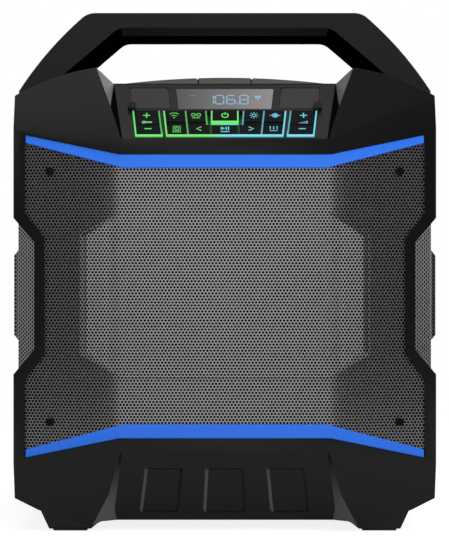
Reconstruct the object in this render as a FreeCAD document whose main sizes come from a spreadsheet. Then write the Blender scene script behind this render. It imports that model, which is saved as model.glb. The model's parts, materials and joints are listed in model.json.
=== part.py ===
import FreeCAD, Part
import math
import os
import re
import Sketcher

# Portable PA loudspeaker with a carrying handle over the top.
# Millimetres. X to the right, Y to the back, Z up. The origin lies on the floor,
# under the middle of the case. The front of the case faces -Y.

SHEET = "Sizes"

DRIVING = [
    # case
    ("case_half", 183.4),
    ("case_depth", 280.0),
    ("split_setback", 55.0),
    ("wall", 5.0),
    ("flat_half", 90.0),
    ("wing_setback", 14.5),
    ("fit_gap", 0.3),
    ("overcut", 1.0),
    # corners of the front, seen from the front
    ("sole_half", 108.0),
    ("sole_height", 9.0),
    ("toe_half", 115.6),
    ("toe_height", 5.6),
    ("toe_setback", 23.0),
    ("hip_half", 162.7),
    ("hip_height", 19.2),
    ("side_low", 29.7),
    ("side_high", 381.1),
    ("peak_half", 112.3),
    ("peak_height", 405.7),
    ("peak_setback", 25.0),
    ("crown_radius", 190.0),
    ("crease_side_low", 60.3),
    ("crease_mid_low", 71.8),
    ("crease_mid_high", 340.4),
    ("crease_side_high", 351.9),
    ("throat_half", 99.0),
    ("throat_height", 371.0),
    ("heel_half", 100.6),
    ("heel_height", 34.0),
    # waist of the case, where the side grilles show
    ("waist_half", 165.0),
    ("waist_low", 160.2),
    ("waist_high", 252.7),
    ("notch_low", 138.3),
    ("notch_high", 274.0),
    ("strap_setback", 22.5),
    ("flush_setback", 51.0),
    # opening in the front, and the coloured strips in its ends
    ("window_half", 173.3),
    ("window_bend_half", 91.0),
    ("window_low", 83.8),
    ("window_high", 328.5),
    ("window_end_low", 65.9),
    ("window_end_high", 346.0),
    ("window_waist_half", 156.0),
    ("window_waist_low", 155.9),
    ("window_waist_high", 256.3),
    ("window_notch_low", 133.6),
    ("window_notch_high", 278.0),
    ("strip_mid", 12.0),
    ("strip_end", 7.2),
    ("strip_setback", 0.8),
    ("strip_depth", 20.0),
    # pressed sheet grilles
    ("sheet", 1.2),
    ("grille_setback", 4.0),
    ("grille_roll", 170.0),
    ("plateau_half", 120.3),
    ("plateau_low", 158.1),
    ("plateau_high", 257.7),
    ("plateau_bend_low", 135.2),
    ("plateau_bend_high", 278.6),
    ("bevel_depth", 4.5),
    ("bevel_run", 10.0),
    ("vent_radius", 10.0),
    ("side_plateau_rise", 5.3),
    ("side_plateau_run", 7.0),
    ("side_plateau_half", 77.0),
    ("side_plateau_low", 171.0),
    ("side_plateau_high", 242.0),
    ("grille_screw_half", 151.4),
    ("grille_screw_low", 97.4),
    ("grille_screw_high", 314.1),
    ("screw_shank", 1.8),
    ("screw_head", 3.4),
    ("screw_head_height", 2.0),
    ("screw_short", 1.5),
    ("boss_wall", 2.8),
    # baffle and woofer
    ("baffle_setback", 28.0),
    ("baffle", 12.0),
    ("woofer_height", 206.0),
    ("woofer_flange", 104.5),
    ("woofer_flange_height", 4.0),
    ("woofer_hole", 95.5),
    ("surround_middle", 88.6),
    ("surround_roll", 5.0),
    ("cone_edge", 83.0),
    ("cone_neck", 20.0),
    ("cone_depth", 35.0),
    ("cone_wall", 1.6),
    ("cap_radius", 30.0),
    ("cap_rise", 12.0),
    ("coil_length", 28.0),
    ("basket_depth", 48.0),
    ("basket_back", 61.0),
    ("magnet_radius", 62.0),
    ("magnet_height", 20.0),
    ("plate_radius", 55.0),
    ("plate_height", 6.0),
    ("magnet_gap", 1.2),
    # tweeter
    ("tweeter_half", 122.7),
    ("tweeter_height", 279.4),
    ("tweeter_flange", 26.0),
    ("tweeter_body", 19.0),
    ("tweeter_depth", 24.0),
    ("tweeter_mouth", 15.0),
    ("dome_radius", 12.0),
    ("dome_rise", 4.5),
    # passive radiators behind the side grilles
    ("radiator_height", 206.5),
    ("radiator_flange", 62.0),
    ("radiator_flange_height", 3.0),
    ("radiator_hole", 54.0),
    ("radiator_roll_middle", 46.5),
    ("radiator_roll", 3.0),
    ("radiator_cone", 42.6),
    ("radiator_cone_height", 3.0),
    ("radiator_weight", 20.0),
    # control panel
    ("panel_low", 341.9),
    ("panel_high", 393.5),
    ("panel_low_setback", 3.0),
    ("panel_high_setback", 44.4),
    ("panel_low_half", 88.6),
    ("panel_high_half", 98.2),
    ("panel_sheet", 3.0),
    ("pod_half", 82.0),
    ("pod_margin", 4.0),
    ("pod_depth", 18.0),
    ("key_row_low", 5.2),
    ("key_row_split", 19.4),
    ("key_row_short", 16.7),
    ("key_row_high", 33.6),
    ("key_gap", 0.4),
    ("key_cap", 2.6),
    ("key_travel", 1.0),
    ("key_stem", 2.0),
    ("guide_line", 1.2),
    ("guide_bar_low", 0.8),
    ("guide_depth", 3.0),
    ("side_block_inner_low", 54.2),
    ("side_block_inner_high", 57.6),
    ("side_block_outer_low", 76.8),
    ("side_block_outer_high", 80.0),
    ("middle_block_low", 50.1),
    ("middle_block_high", 53.1),
    ("divider_low", 31.6),
    ("divider_high", 34.3),
    ("short_divider_low", 14.6),
    ("short_divider_high", 16.5),
    ("power_half", 12.0),
    ("power_bar", 2.3),
    ("board", 1.6),
    ("board_margin", 1.0),
    ("key_board_depth", 7.0),
    ("display_low", 35.5),
    ("display_high", 59.75),
    ("display_low_half", 40.6),
    ("display_high_half", 43.0),
    ("display_sheet", 1.5),
    ("display_module", 7.0),
    ("flap_low", 35.7),
    ("flap_high", 59.6),
    ("flap_inner_low", 47.3),
    ("flap_inner_high", 50.0),
    ("flap_outer_low", 81.3),
    ("flap_outer_high", 83.7),
    ("flap_sheet", 1.8),
    ("flap_rise", 0.5),
    ("hinge_bead", 0.9),
    ("hinge_run", 1.4),
    ("tab_inner", 78.0),
    ("tab_outer", 84.5),
    ("tab_low", 32.9),
    ("tab_high", 40.0),
    ("tab_rise", 4.0),
    ("jack_bore", 3.25),
    ("jack_body", 5.2),
    ("jack_length", 16.0),
    ("jack_pitch", 15.0),
    ("jack_row", 47.0),
    ("socket_middle", 65.0),
    ("aux_bore", 1.8),
    ("aux_body", 4.0),
    ("aux_offset", 8.5),
    ("usb_width", 14.6),
    ("usb_height", 7.2),
    ("usb_shell", 0.9),
    ("usb_offset", 5.0),
    ("usb_tongue", 1.8),
    ("socket_floor", 2.0),
    ("socket_room_half", 13.0),
    ("socket_room_foot", 2.0),
    ("socket_room_head", 2.5),
    # top deck
    ("shoulder_ridge_half", 110.0),
    ("shoulder_ridge_height", 403.0),
    ("seat_half", 134.0),
    ("seat_height", 397.5),
    ("seat_side", 377.5),
    ("deck_half", 88.0),
    ("deck_edge", 394.8),
    ("deck_crest", 401.1),
    ("deck_setback", 50.0),
    ("deck_length", 185.0),
    ("deck_ramp", 13.0),
    ("groove_half", 24.2),
    ("groove_width", 1.8),
    ("groove_depth", 1.6),
    # handle
    ("handle_setback", 55.0),
    ("handle_depth", 70.0),
    ("handle_top", 457.9),
    ("handle_top_half", 122.0),
    ("handle_hip", 388.3),
    ("handle_bow", 310.0),
    ("grip_bottom", 438.0),
    ("grip_half", 92.0),
    ("leg_foot_half", 144.0),
    ("handle_corner", 18.0),
    ("grip_corner", 15.0),
    ("grip_bevel", 6.8),
    ("bolt_half", 165.0),
    ("bolt_pitch", 34.0),
    ("bolt_shank", 2.5),
    ("bolt_head", 4.6),
    ("bolt_head_height", 3.2),
    ("bolt_bite", 14.0),
    ("bolt_rise", 11.0),
    # lower front
    ("apron_high", 71.6),
    ("apron_low", 20.6),
    ("apron_high_setback", 2.0),
    ("apron_low_setback", 26.0),
    ("apron_high_half", 88.3),
    ("apron_low_half", 96.5),
    ("apron_foot_setback", 36.0),
    ("recess_top", 40.8),
    ("recess_depth", 2.5),
    ("recess_run", 2.5),
    ("recess_middle_top", 16.6),
    ("recess_middle_foot", 18.9),
    ("recess_inner_top", 36.1),
    ("recess_inner_foot", 40.1),
    ("recess_outer_top", 68.9),
    ("recess_outer_foot", 74.6),
    # feet
    ("foot_inner", 117.5),
    ("foot_outer", 154.0),
    ("bracket_inner", 109.5),
    ("bracket_outer", 162.0),
    ("pad_height", 2.0),
    ("pad_inset", 3.2),
    ("foot_setback", 30.0),
    ("foot_length", 50.0),
    # back
    ("rear_setback", 4.0),
    ("rear_panel", 3.0),
    ("rear_half", 150.0),
    ("rear_low", 34.0),
    ("rear_high", 362.0),
    ("rear_ledge", 12.0),
    ("inlet_height", 78.0),
    ("inlet_half", 13.0),
    ("inlet_half_height", 10.0),
    ("inlet_depth", 18.0),
    ("inlet_wall", 2.0),
    ("pin_radius", 1.2),
    ("pin_pitch", 8.6),
    ("cover_half", 19.0),
    ("cover_half_height", 15.0),
    ("cover_sheet", 2.4),
    ("hinge_lug", 3.0),
    ("hinge_pin", 0.6),
    # inside
    ("battery_length", 151.0),
    ("battery_width", 65.0),
    ("battery_height", 94.0),
    ("battery_setback", 36.0),
    ("bracket_sheet", 2.0),
    ("bracket_width", 22.0),
    ("bracket_foot", 16.0),
    ("mainboard_half", 90.0),
    ("mainboard_low", 150.0),
    ("mainboard_high", 270.0),
    ("standoff", 10.0),
    ("standoff_radius", 3.0),
    ("sink_half", 42.0),
    ("sink_height", 44.0),
    ("sink_base", 4.0),
    ("fin", 2.0),
    ("fin_height", 18.0),
]

NAMES = {name for name, size in DRIVING}
FIN_COUNT = 9
BASKET_WINDOWS = 6
BASKET_WINDOW_TURN = 42.0

# openings of the front grille, and how much of a pitch stays shut past the outermost ones
VENT_COLUMNS = 11
VENT_ROWS = 7
VENT_MARGIN = 0.6

# size of a cutting block, how near an edge counts as at a place, and how much more
# than half of its chord the radius of a half-round arc is
SPAN = 900.0
NEAR = 0.5
ARC_SLACK = 0.02

V = FreeCAD.Vector
doc = FreeCAD.newDocument("speaker")
sheet = doc.addObject("Spreadsheet::Sheet", SHEET)
for row, (name, size) in enumerate(DRIVING, start=1):
    sheet.set(f"A{row}", name)
    sheet.set(f"B{row}", str(size))
    sheet.setAlias(f"B{row}", name)
doc.recompute()


def bound(text):
    """Expression text in which each size is read from the sheet."""

    def cell(word):
        return f"{SHEET}.{word[0]}" if word[0] in NAMES else word[0]

    return re.sub(r"[a-z_]+", cell, str(text))


def size(text):
    """The number that an expression of sizes has now."""
    found = sheet.evalExpression(bound(text))
    return float(getattr(found, "Value", found))


def minus(text):
    return f"-({text})"


def mirrored(half):
    """A closed outline from its right half, which runs from the middle line to the middle line."""
    inner = [point for point in half if point[0] != "0"]
    return half + [(minus(point[0]),) + tuple(point[1:]) for point in reversed(inner)]


# Bodies and features


def add_body(name, placement=None):
    body = doc.addObject("PartDesign::Body", name)
    body.Label = name
    if placement is not None:
        body.Placement = placement
    return body


def origin_plane(body, role):
    return next(item for item in body.Origin.OriginFeatures if item.Role == role)


def arc_through(start, end, radius):
    """Arc from start to end; it bulges to the right of that direction where the radius is positive."""
    chord = end - start
    across = V(chord.y, -chord.x, 0).normalize()
    reach = abs(radius)
    sagitta = reach - math.sqrt(reach * reach - chord.Length * chord.Length / 4)
    middle = (start + end) * 0.5 + across * (sagitta if radius > 0 else -sagitta)
    return Part.Arc(start, middle, end)


def add_sketch(body, name, role, offset, outline, arcs=None):
    """Closed outline on an origin plane of the body, moved along the plane's normal by offset.

    Each point of the outline is a pair of expressions. arcs maps a point's index to the
    radius of the arc from it to the next one.
    """
    arcs = arcs or {}
    sketch = body.newObject("Sketcher::SketchObject", name)
    sketch.AttachmentSupport = [(origin_plane(body, role), "")]
    sketch.MapMode = "FlatFace"
    sketch.setExpression("AttachmentOffset.Base.z", bound(offset))
    places = [V(size(x), size(y), 0) for x, y in outline]
    count = len(places)
    for index, start in enumerate(places):
        end = places[(index + 1) % count]
        if index in arcs:
            sketch.addGeometry(arc_through(start, end, size(arcs[index])), False)
        else:
            sketch.addGeometry(Part.LineSegment(start, end), False)
    starts = []
    for index, start in enumerate(places):
        first = (sketch.getPoint(index, 1) - start).Length < (sketch.getPoint(index, 2) - start).Length
        starts.append(1 if first else 2)
    for index in range(count):
        after = (index + 1) % count
        end = 3 - starts[index]
        sketch.addConstraint(Sketcher.Constraint("Coincident", index, end, after, starts[after]))
    for index, (x, y) in enumerate(outline):
        for kind, text, place in (("DistanceX", x, places[index].x), ("DistanceY", y, places[index].y)):
            number = sketch.addConstraint(Sketcher.Constraint(kind, -1, 1, index, starts[index], place))
            label = f"{kind[-1].lower()}{index}"
            sketch.renameConstraint(number, label)
            sketch.setExpression(f"Constraints.{label}", bound(text))
    for index, radius in arcs.items():
        number = sketch.addConstraint(Sketcher.Constraint("Radius", index, abs(size(radius))))
        sketch.renameConstraint(number, f"radius{index}")
        sketch.setExpression(f"Constraints.radius{index}", bound(f"abs({radius})"))
    return sketch


def pad(body, sketch, length):
    feature = body.newObject("PartDesign::Pad", sketch.Name + "_pad")
    feature.Profile = sketch
    feature.setExpression("Length", bound(length))
    body.Tip = feature
    return feature


def revolve(body, sketch):
    feature = body.newObject("PartDesign::Revolution", sketch.Name + "_turn")
    feature.Profile = sketch
    feature.ReferenceAxis = (sketch, ["V_Axis"])
    feature.Angle = 360.0
    body.Tip = feature
    return feature


def loft(body, name, first, second):
    feature = body.newObject("PartDesign::AdditiveLoft", name)
    feature.Profile = first
    feature.Sections = [second]
    feature.Ruled = True
    body.Tip = feature
    return feature


def slab(name, corners, kept):
    """Thick block whose face holds three corners, on the side away from the kept point."""
    first, second, third = corners
    normal = (second - first).cross(third - first).normalize()
    if normal.dot(kept - first) > 0:
        normal = normal.negative()
    feature = doc.addObject("Part::Feature", name)
    feature.Shape = Part.makeBox(SPAN, SPAN, SPAN, V(-SPAN / 2, -SPAN / 2, 0))
    feature.Placement = FreeCAD.Placement(first, FreeCAD.Rotation(V(0, 0, 1), normal))
    return feature


def cut(name, base, tools):
    """Base less the tools."""
    if len(tools) == 1:
        tool = tools[0]
    else:
        tool = doc.addObject("Part::MultiFuse", name + "_tools")
        tool.Shapes = tools
    feature = doc.addObject("Part::Cut", name)
    feature.Base = base
    feature.Tool = tool
    return feature


def common(name, first, second):
    feature = doc.addObject("Part::Common", name)
    feature.Base = first
    feature.Tool = second
    return feature


def fuse(name, shapes):
    feature = doc.addObject("Part::MultiFuse", name)
    feature.Shapes = shapes
    feature.Refine = True
    return feature


def box(name, low, high, placement=None):
    """Block between two corners given as expressions."""
    feature = doc.addObject("Part::Box", name)
    for axis, edge in zip("xyz", ("Length", "Width", "Height")):
        start, end = low["xyz".index(axis)], high["xyz".index(axis)]
        feature.setExpression(edge, bound(f"({end}) - ({start})"))
    if placement is None:
        for axis, start in zip("xyz", low):
            feature.setExpression(f"Placement.Base.{axis}", bound(start))
    else:
        corner = V(*(size(start) for start in low))
        feature.Placement = placement.multiply(FreeCAD.Placement(corner, FreeCAD.Rotation()))
    return feature


def rod(name, foot, radius, length, direction, placement=None):
    """Round bar from its foot along a direction, sizes given as expressions."""
    feature = doc.addObject("Part::Cylinder", name)
    feature.setExpression("Radius", bound(radius))
    feature.setExpression("Height", bound(length))
    own = FreeCAD.Placement(V(*(size(part) for part in foot)), FreeCAD.Rotation(V(0, 0, 1), direction))
    feature.Placement = own if placement is None else placement.multiply(own)
    return feature


def group(name, solids):
    """Several like solids kept apart in one node."""
    feature = doc.addObject("Part::Compound", name)
    feature.Links = solids
    return feature


NODES = []


def node(feature, name):
    """Marks a finished sub-part, and gives it the name that its file has."""
    feature.Label = name
    NODES.append(feature)
    return feature


# Places that several sub-parts share

FRONT = "-case_depth / 2"
BACK = "case_depth / 2"
SPLIT = f"{FRONT} + split_setback"
BAFFLE_FRONT = f"{FRONT} + baffle_setback"
RIGHT_LEFT = (("right", 1), ("left", -1))
INWARD = V(0, 1, 0)
UPWARD = V(0, 0, 1)


def at(x, y, z):
    return V(size(x), size(y), size(z))


def flipped(point):
    return V(-point.x, point.y, point.z)


def leaning_frame(low, low_setback, high, high_setback):
    """Frame of a sloping face: X along it, Y up the slope, Z out of it, from its lower edge."""
    rise = size(high) - size(low)
    lean = size(high_setback) - size(low_setback)
    turn = FreeCAD.Rotation(V(1, 0, 0), math.degrees(math.atan2(rise, lean)))
    return FreeCAD.Placement(at("0", f"{FRONT} + {low_setback}", low), turn), math.hypot(rise, lean)


PANEL, PANEL_LENGTH = leaning_frame("panel_low", "panel_low_setback", "panel_high", "panel_high_setback")
APRON, APRON_LENGTH = leaning_frame("apron_low", "apron_low_setback", "apron_high", "apron_high_setback")


# Front shell


def window_outline(gap):
    """Opening in the front, less a gap all round."""
    return mirrored(
        [
            ("0", f"window_low + {gap}"),
            ("window_bend_half", f"window_low + {gap}"),
            (f"window_half - {gap}", f"window_end_low + {gap}"),
            (f"window_half - {gap}", f"window_notch_low - {gap} / 2"),
            (f"window_waist_half - {gap}", f"window_waist_low - {gap} / 2"),
            (f"window_waist_half - {gap}", f"window_waist_high + {gap} / 2"),
            (f"window_half - {gap}", f"window_notch_high + {gap} / 2"),
            (f"window_half - {gap}", f"window_end_high - {gap}"),
            ("window_bend_half", f"window_high - {gap}"),
            ("0", f"window_high - {gap}"),
        ]
    )


def wing_slabs(name, setback):
    """Blocks in front of the two side wings of the front, which slope back from the flat middle."""
    made = []
    for side, sign in RIGHT_LEFT:
        bend = at(f"{sign} * flat_half", f"{FRONT} + {setback}", "0")
        edge = at(f"{sign} * case_half", f"{FRONT} + wing_setback + {setback}", "0")
        inside = at("0", "0", "0")
        made.append(slab(f"{name}_{side}", (bend, bend + UPWARD, edge), inside))
    return made


def lean_slabs(name, side_crease, middle_crease, corner):
    """Blocks in front of the two faces that lean back from a crease to a corner of the front."""
    made = []
    for side, sign in RIGHT_LEFT:
        outer = at("case_half", f"{FRONT} + wing_setback", side_crease)
        inner = at("flat_half", FRONT, middle_crease)
        places = [point if sign > 0 else flipped(point) for point in (outer, inner, corner)]
        made.append(slab(f"{name}_{side}", places, at("0", "0", "woofer_height")))
    return made


def on_lean(x, z, outer, inner, corner):
    """The point of a leaning face at a given x and z."""
    normal = (inner - outer).cross(corner - outer)
    drop = normal.x * (x - outer.x) + normal.z * (z - outer.z)
    return V(x, outer.y - drop / normal.y, z)


def shoulder_block(name, sign, facets, low, high):
    """Tall block on one side of the throat, bounded by two facets that face the middle."""
    block = box(name, ("-case_half * 2", f"{FRONT} - wall", low), ("case_half * 2", SPLIT, high))
    outside = at(f"{sign} * case_half", FRONT, f"({low} + {high}) / 2")
    tools = []
    for number, facet in enumerate(facets):
        places = [point if sign > 0 else flipped(point) for point in facet]
        tools.append(slab(f"{name}_facet{number}", places, outside))
    return cut(f"{name}_cut", block, tools)


PEAK = at("peak_half", f"{FRONT} + peak_setback", "peak_height")
TOE = at("toe_half", f"{FRONT} + toe_setback", "toe_height")
CREASE_HIGH = (
    at("case_half", f"{FRONT} + wing_setback", "crease_side_high"),
    at("flat_half", FRONT, "crease_mid_high"),
)
CREASE_LOW = (
    at("case_half", f"{FRONT} + wing_setback", "crease_side_low"),
    at("flat_half", FRONT, "crease_mid_low"),
)
THROAT = on_lean(size("throat_half"), size("throat_height"), *CREASE_HIGH, PEAK)
HEEL = on_lean(size("heel_half"), size("heel_height"), *CREASE_LOW, TOE)
PANEL_TOP = at("panel_high_half", f"{FRONT} + panel_high_setback", "panel_high")
PANEL_FOOT = at("panel_low_half", f"{FRONT} + panel_low_setback", "panel_low")
APRON_TOP = at("apron_high_half", f"{FRONT} + apron_high_setback", "apron_high")
APRON_FOOT = at("apron_low_half", f"{FRONT} + apron_low_setback", "apron_low")


BED_DEPTH = "(sheet + fit_gap)"
STRAP_Y = {-1: f"({FRONT} + strap_setback)", 1: f"({BACK} - strap_setback)"}
FLUSH_Y = {-1: f"({FRONT} + flush_setback)", 1: f"({BACK} - flush_setback)"}


def notch_outline(name, sign, gap):
    """The side notch seen from the front, as a prism through the whole depth."""
    body = add_body(name)
    half = [
        ("waist_half - wall * 4", f"waist_low + {gap}"),
        ("waist_half", f"waist_low + {gap}"),
        ("case_half", f"notch_low + {gap}"),
        ("case_half + wall * 4", f"notch_low + {gap}"),
        ("case_half + wall * 4", f"notch_high - {gap}"),
        ("case_half", f"notch_high - {gap}"),
        ("waist_half", f"waist_high - {gap}"),
        ("waist_half - wall * 4", f"waist_high - {gap}"),
    ]
    outline = [(f"{sign} * ({x})", z) for x, z in half]
    sketch = add_sketch(body, f"{name}_sketch", "XZ_Plane", f"-({BACK} + wall)", outline)
    pad(body, sketch, "case_depth + wall * 2")
    return body


def notch_tool(side, sign):
    """All that the waist and the side grille take out of the case on one side."""
    body = add_body(f"notch_plan_{side}")
    half = [
        ("waist_half", f"{FRONT} - wall"),
        ("case_half + wall", f"{FRONT} - wall"),
        ("case_half + wall", f"{BACK} + wall"),
        ("waist_half", f"{BACK} + wall"),
        ("waist_half", STRAP_Y[1]),
        (f"waist_half - {BED_DEPTH}", STRAP_Y[1]),
        (f"case_half - {BED_DEPTH}", FLUSH_Y[1]),
        (f"case_half - {BED_DEPTH}", FLUSH_Y[-1]),
        (f"waist_half - {BED_DEPTH}", STRAP_Y[-1]),
        ("waist_half", STRAP_Y[-1]),
    ]
    outline = [(f"{sign} * ({x})", y) for x, y in half]
    sketch = add_sketch(body, f"notch_plan_sketch_{side}", "XY_Plane", "notch_low - wall", outline)
    pad(body, sketch, "notch_high - notch_low + wall * 2")
    return common(f"notch_{side}", body, notch_outline(f"notch_front_{side}", sign, "0"))


def panel_outline(gap):
    """The control panel in its own plane."""
    return [
        (f"-(panel_low_half - {gap})", f"{gap}"),
        (f"panel_low_half - {gap}", f"{gap}"),
        (f"panel_high_half - {gap}", f"{PANEL_LENGTH} - {gap}"),
        (f"-(panel_high_half - {gap})", f"{PANEL_LENGTH} - {gap}"),
    ]


def apron_recess(name, left, right):
    """Shallow recess in the apron, open at the foot, whose walls slope down to its floor."""
    body = add_body(f"apron_recess_{name}", APRON)
    sections = []
    for part, grow in (("floor", "-recess_run"), ("mouth", "recess_run")):
        outline = [
            (f"{left}_foot - ({grow})", "-wall"),
            (f"{right}_foot + ({grow})", "-wall"),
            (f"{right}_top + ({grow})", f"recess_top + ({grow})"),
            (f"{left}_top - ({grow})", f"recess_top + ({grow})"),
        ]
        level = "-recess_depth" if part == "floor" else "recess_depth"
        sections.append(add_sketch(body, f"recess_{name}_{part}", "XY_Plane", level, outline))
    loft(body, f"recess_{name}", *sections)
    return body


def build_front_shell(notches):
    blank = add_body("front_blank")
    outline = mirrored(
        [
            ("0", "sole_height"),
            ("sole_half", "sole_height"),
            ("toe_half", "toe_height"),
            ("hip_half", "hip_height"),
            ("case_half", "side_low"),
            ("case_half", "side_high"),
            ("peak_half", "peak_height"),
            ("panel_high_half", "panel_high"),
            ("0", "panel_high"),
        ]
    )
    arcs = {5: "crown_radius", len(outline) - 6: "crown_radius"}
    pad(blank, add_sketch(blank, "front_outline", "XZ_Plane", f"-({SPLIT})", outline, arcs), "split_setback")
    faceted = cut(
        "front_facets",
        blank,
        wing_slabs("wing", "0")
        + lean_slabs("horn_lean", "crease_side_high", "crease_mid_high", PEAK)
        + lean_slabs("cheek_lean", "crease_side_low", "crease_mid_low", TOE),
    )
    throat = add_body("throat_wedge")
    wedge = [
        (f"{FRONT} - wall", "panel_low"),
        (f"{FRONT} + panel_low_setback", "panel_low"),
        (f"{FRONT} + panel_high_setback", "panel_high"),
        (f"{FRONT} + panel_high_setback", "peak_height + wall"),
        (f"{FRONT} - wall", "peak_height + wall"),
    ]
    pad(throat, add_sketch(throat, "throat_profile", "YZ_Plane", "-case_half * 2", wedge), "case_half * 4")
    apron = add_body("apron_wedge")
    wedge = [
        (f"{FRONT} - wall", "apron_high"),
        (f"{FRONT} - wall", "toe_height - wall"),
        (f"{FRONT} + apron_foot_setback", "toe_height - wall"),
        (f"{FRONT} + apron_foot_setback", "sole_height"),
        (f"{FRONT} + apron_low_setback", "apron_low"),
        (f"{FRONT} + apron_high_setback", "apron_high"),
    ]
    pad(apron, add_sketch(apron, "apron_profile", "YZ_Plane", "-case_half * 2", wedge), "case_half * 4")
    middle = cut("front_middle", faceted, [throat, apron])
    horn_facets = ((PANEL_TOP, THROAT, PANEL_FOOT), (PEAK, PANEL_TOP, THROAT))
    cheek_facets = ((APRON_FOOT, HEEL, APRON_TOP), (TOE, APRON_FOOT, HEEL))
    parts = [middle]
    for side, sign in RIGHT_LEFT:
        horn = shoulder_block(f"horn_{side}", sign, horn_facets, "panel_low", "peak_height + wall")
        cheek = shoulder_block(f"cheek_{side}", sign, cheek_facets, "toe_height - wall", "apron_high")
        parts.append(common(f"horn_form_{side}", faceted, horn))
        parts.append(common(f"cheek_form_{side}", faceted, cheek))
    solid = fuse("front_solid", parts)

    window = add_body("window")
    sketch = add_sketch(window, "window_outline", "XZ_Plane", f"-({SPLIT} + wall)", window_outline("0"))
    pad(window, sketch, "split_setback + wall * 2")
    seat = add_body("panel_seat", PANEL)
    sketch = add_sketch(seat, "panel_seat_outline", "XY_Plane", "-panel_sheet", panel_outline("0"))
    pad(seat, sketch, "panel_sheet * 4")
    pod = box(
        "pod",
        ("-pod_half", "pod_margin", "-(panel_sheet + pod_depth)"),
        ("pod_half", f"{PANEL_LENGTH} - pod_margin", "0"),
        PANEL,
    )
    tools = [window, seat, pod] + notches
    tools.append(apron_recess("middle", "-recess_middle", "recess_middle"))
    tools.append(apron_recess("right", "recess_inner", "recess_outer"))
    tools.append(apron_recess("left", "-recess_outer", "-recess_inner"))
    return node(cut("front_shell_form", solid, tools), "front_shell")


# Case body and back


def build_case_body(notches):
    blank = add_body("case_blank")
    outline = mirrored(
        [
            ("0", "sole_height"),
            ("sole_half", "sole_height"),
            ("toe_half", "toe_height"),
            ("hip_half", "hip_height"),
            ("case_half", "side_low"),
            ("case_half", "seat_side"),
            ("seat_half", "seat_height"),
            ("shoulder_ridge_half", "shoulder_ridge_height"),
            ("panel_high_half", "panel_high"),
            ("0", "panel_high"),
        ]
    )
    sketch = add_sketch(blank, "case_outline", "XZ_Plane", f"-({BACK})", outline)
    pad(blank, sketch, "case_depth - split_setback")
    hollow = add_body("case_hollow")
    outline = mirrored(
        [
            ("0", "sole_height + wall"),
            ("toe_half", "sole_height + wall"),
            ("hip_half", "hip_height + wall * 2"),
            ("case_half - wall", "side_low + wall * 1.6"),
            ("case_half - wall", "seat_side - wall * 1.5"),
            ("seat_half", "seat_height - wall * 1.5"),
            ("panel_high_half", "panel_high - wall"),
            ("0", "panel_high - wall"),
        ]
    )
    sketch = add_sketch(hollow, "hollow_outline", "XZ_Plane", f"-({REAR_RIM})", outline)
    pad(hollow, sketch, "case_depth - split_setback")
    plan = add_body("case_hollow_plan")
    outline = [
        ("-(case_half - wall)", f"{SPLIT} - wall"),
        ("case_half - wall", f"{SPLIT} - wall"),
        ("case_half - wall", f"{FLUSH_Y[1]} - wall * 2"),
        ("waist_half - wall * 1.6", f"{STRAP_Y[1]} - wall"),
        ("waist_half - wall * 1.6", f"{REAR_RIM}"),
        ("-(waist_half - wall * 1.6)", f"{REAR_RIM}"),
        ("-(waist_half - wall * 1.6)", f"{STRAP_Y[1]} - wall"),
        ("-(case_half - wall)", f"{FLUSH_Y[1]} - wall * 2"),
    ]
    pad(plan, add_sketch(plan, "hollow_plan", "XY_Plane", "0", outline), "handle_top")
    rim = box(
        "rear_opening",
        ("-(rear_half - rear_ledge)", f"{REAR_RIM} - wall", "rear_low + rear_ledge"),
        ("rear_half - rear_ledge", f"{BACK} + wall", "rear_high - rear_ledge"),
    )
    rebate = box(
        "rear_rebate",
        ("-(rear_half + fit_gap)", f"{BACK} - rear_setback - rear_panel", "rear_low - fit_gap"),
        ("rear_half + fit_gap", f"{BACK} + wall", "rear_high + fit_gap"),
    )
    tools = [common("case_room", hollow, plan), rim, rebate] + notches
    for side, sign in RIGHT_LEFT:
        foot = (f"{sign} * (case_half - wall * 3)", "0", "radiator_height")
        tools.append(rod(f"radiator_hole_{side}", foot, "radiator_hole", "wall * 4", V(sign, 0, 0)))
    for number, (x, y, _) in enumerate(bolt_places()):
        foot = (x, y, "seat_side - wall * 3")
        tools.append(rod(f"bolt_hole{number}", foot, "bolt_shank + fit_gap", "wall * 6", UPWARD))
    for number, (x, z) in enumerate(rear_screw_places()):
        foot = (x, f"{REAR_RIM} + overcut", z)
        tools.append(rod(f"case_screw_hole{number}", foot, "screw_shank + fit_gap / 3", "wall * 4", INWARD))
    return node(cut("case_body_form", blank, tools), "case_body")


REAR_RIM = f"({BACK} - rear_setback - rear_panel - wall)"
PANEL_BACK_Y = f"({BACK} - rear_setback)"


def bolt_places():
    """Where the four handle bolts stand, and the height of the seat above each."""
    middle = f"{FRONT} + handle_setback + handle_depth / 2"
    seat = "(seat_side + (seat_height - seat_side) * (case_half - bolt_half) / (case_half - seat_half))"
    places = []
    for _, sign in RIGHT_LEFT:
        for along in (-1, 1):
            places.append((f"{sign} * bolt_half", f"{middle} + {along} * bolt_pitch / 2", seat))
    return places


def rear_screw_places():
    """Middle of the ledge round the rear panel: the corners and the middle of each side."""
    half = "(rear_half - rear_ledge / 2)"
    low = "(rear_low + rear_ledge / 2)"
    high = "(rear_high - rear_ledge / 2)"
    middle = "((rear_low + rear_high) / 2)"
    columns = (f"-{half}", half)
    return [(x, z) for x in columns for z in (low, middle, high)] + [("0", low), ("0", high)]


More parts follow.
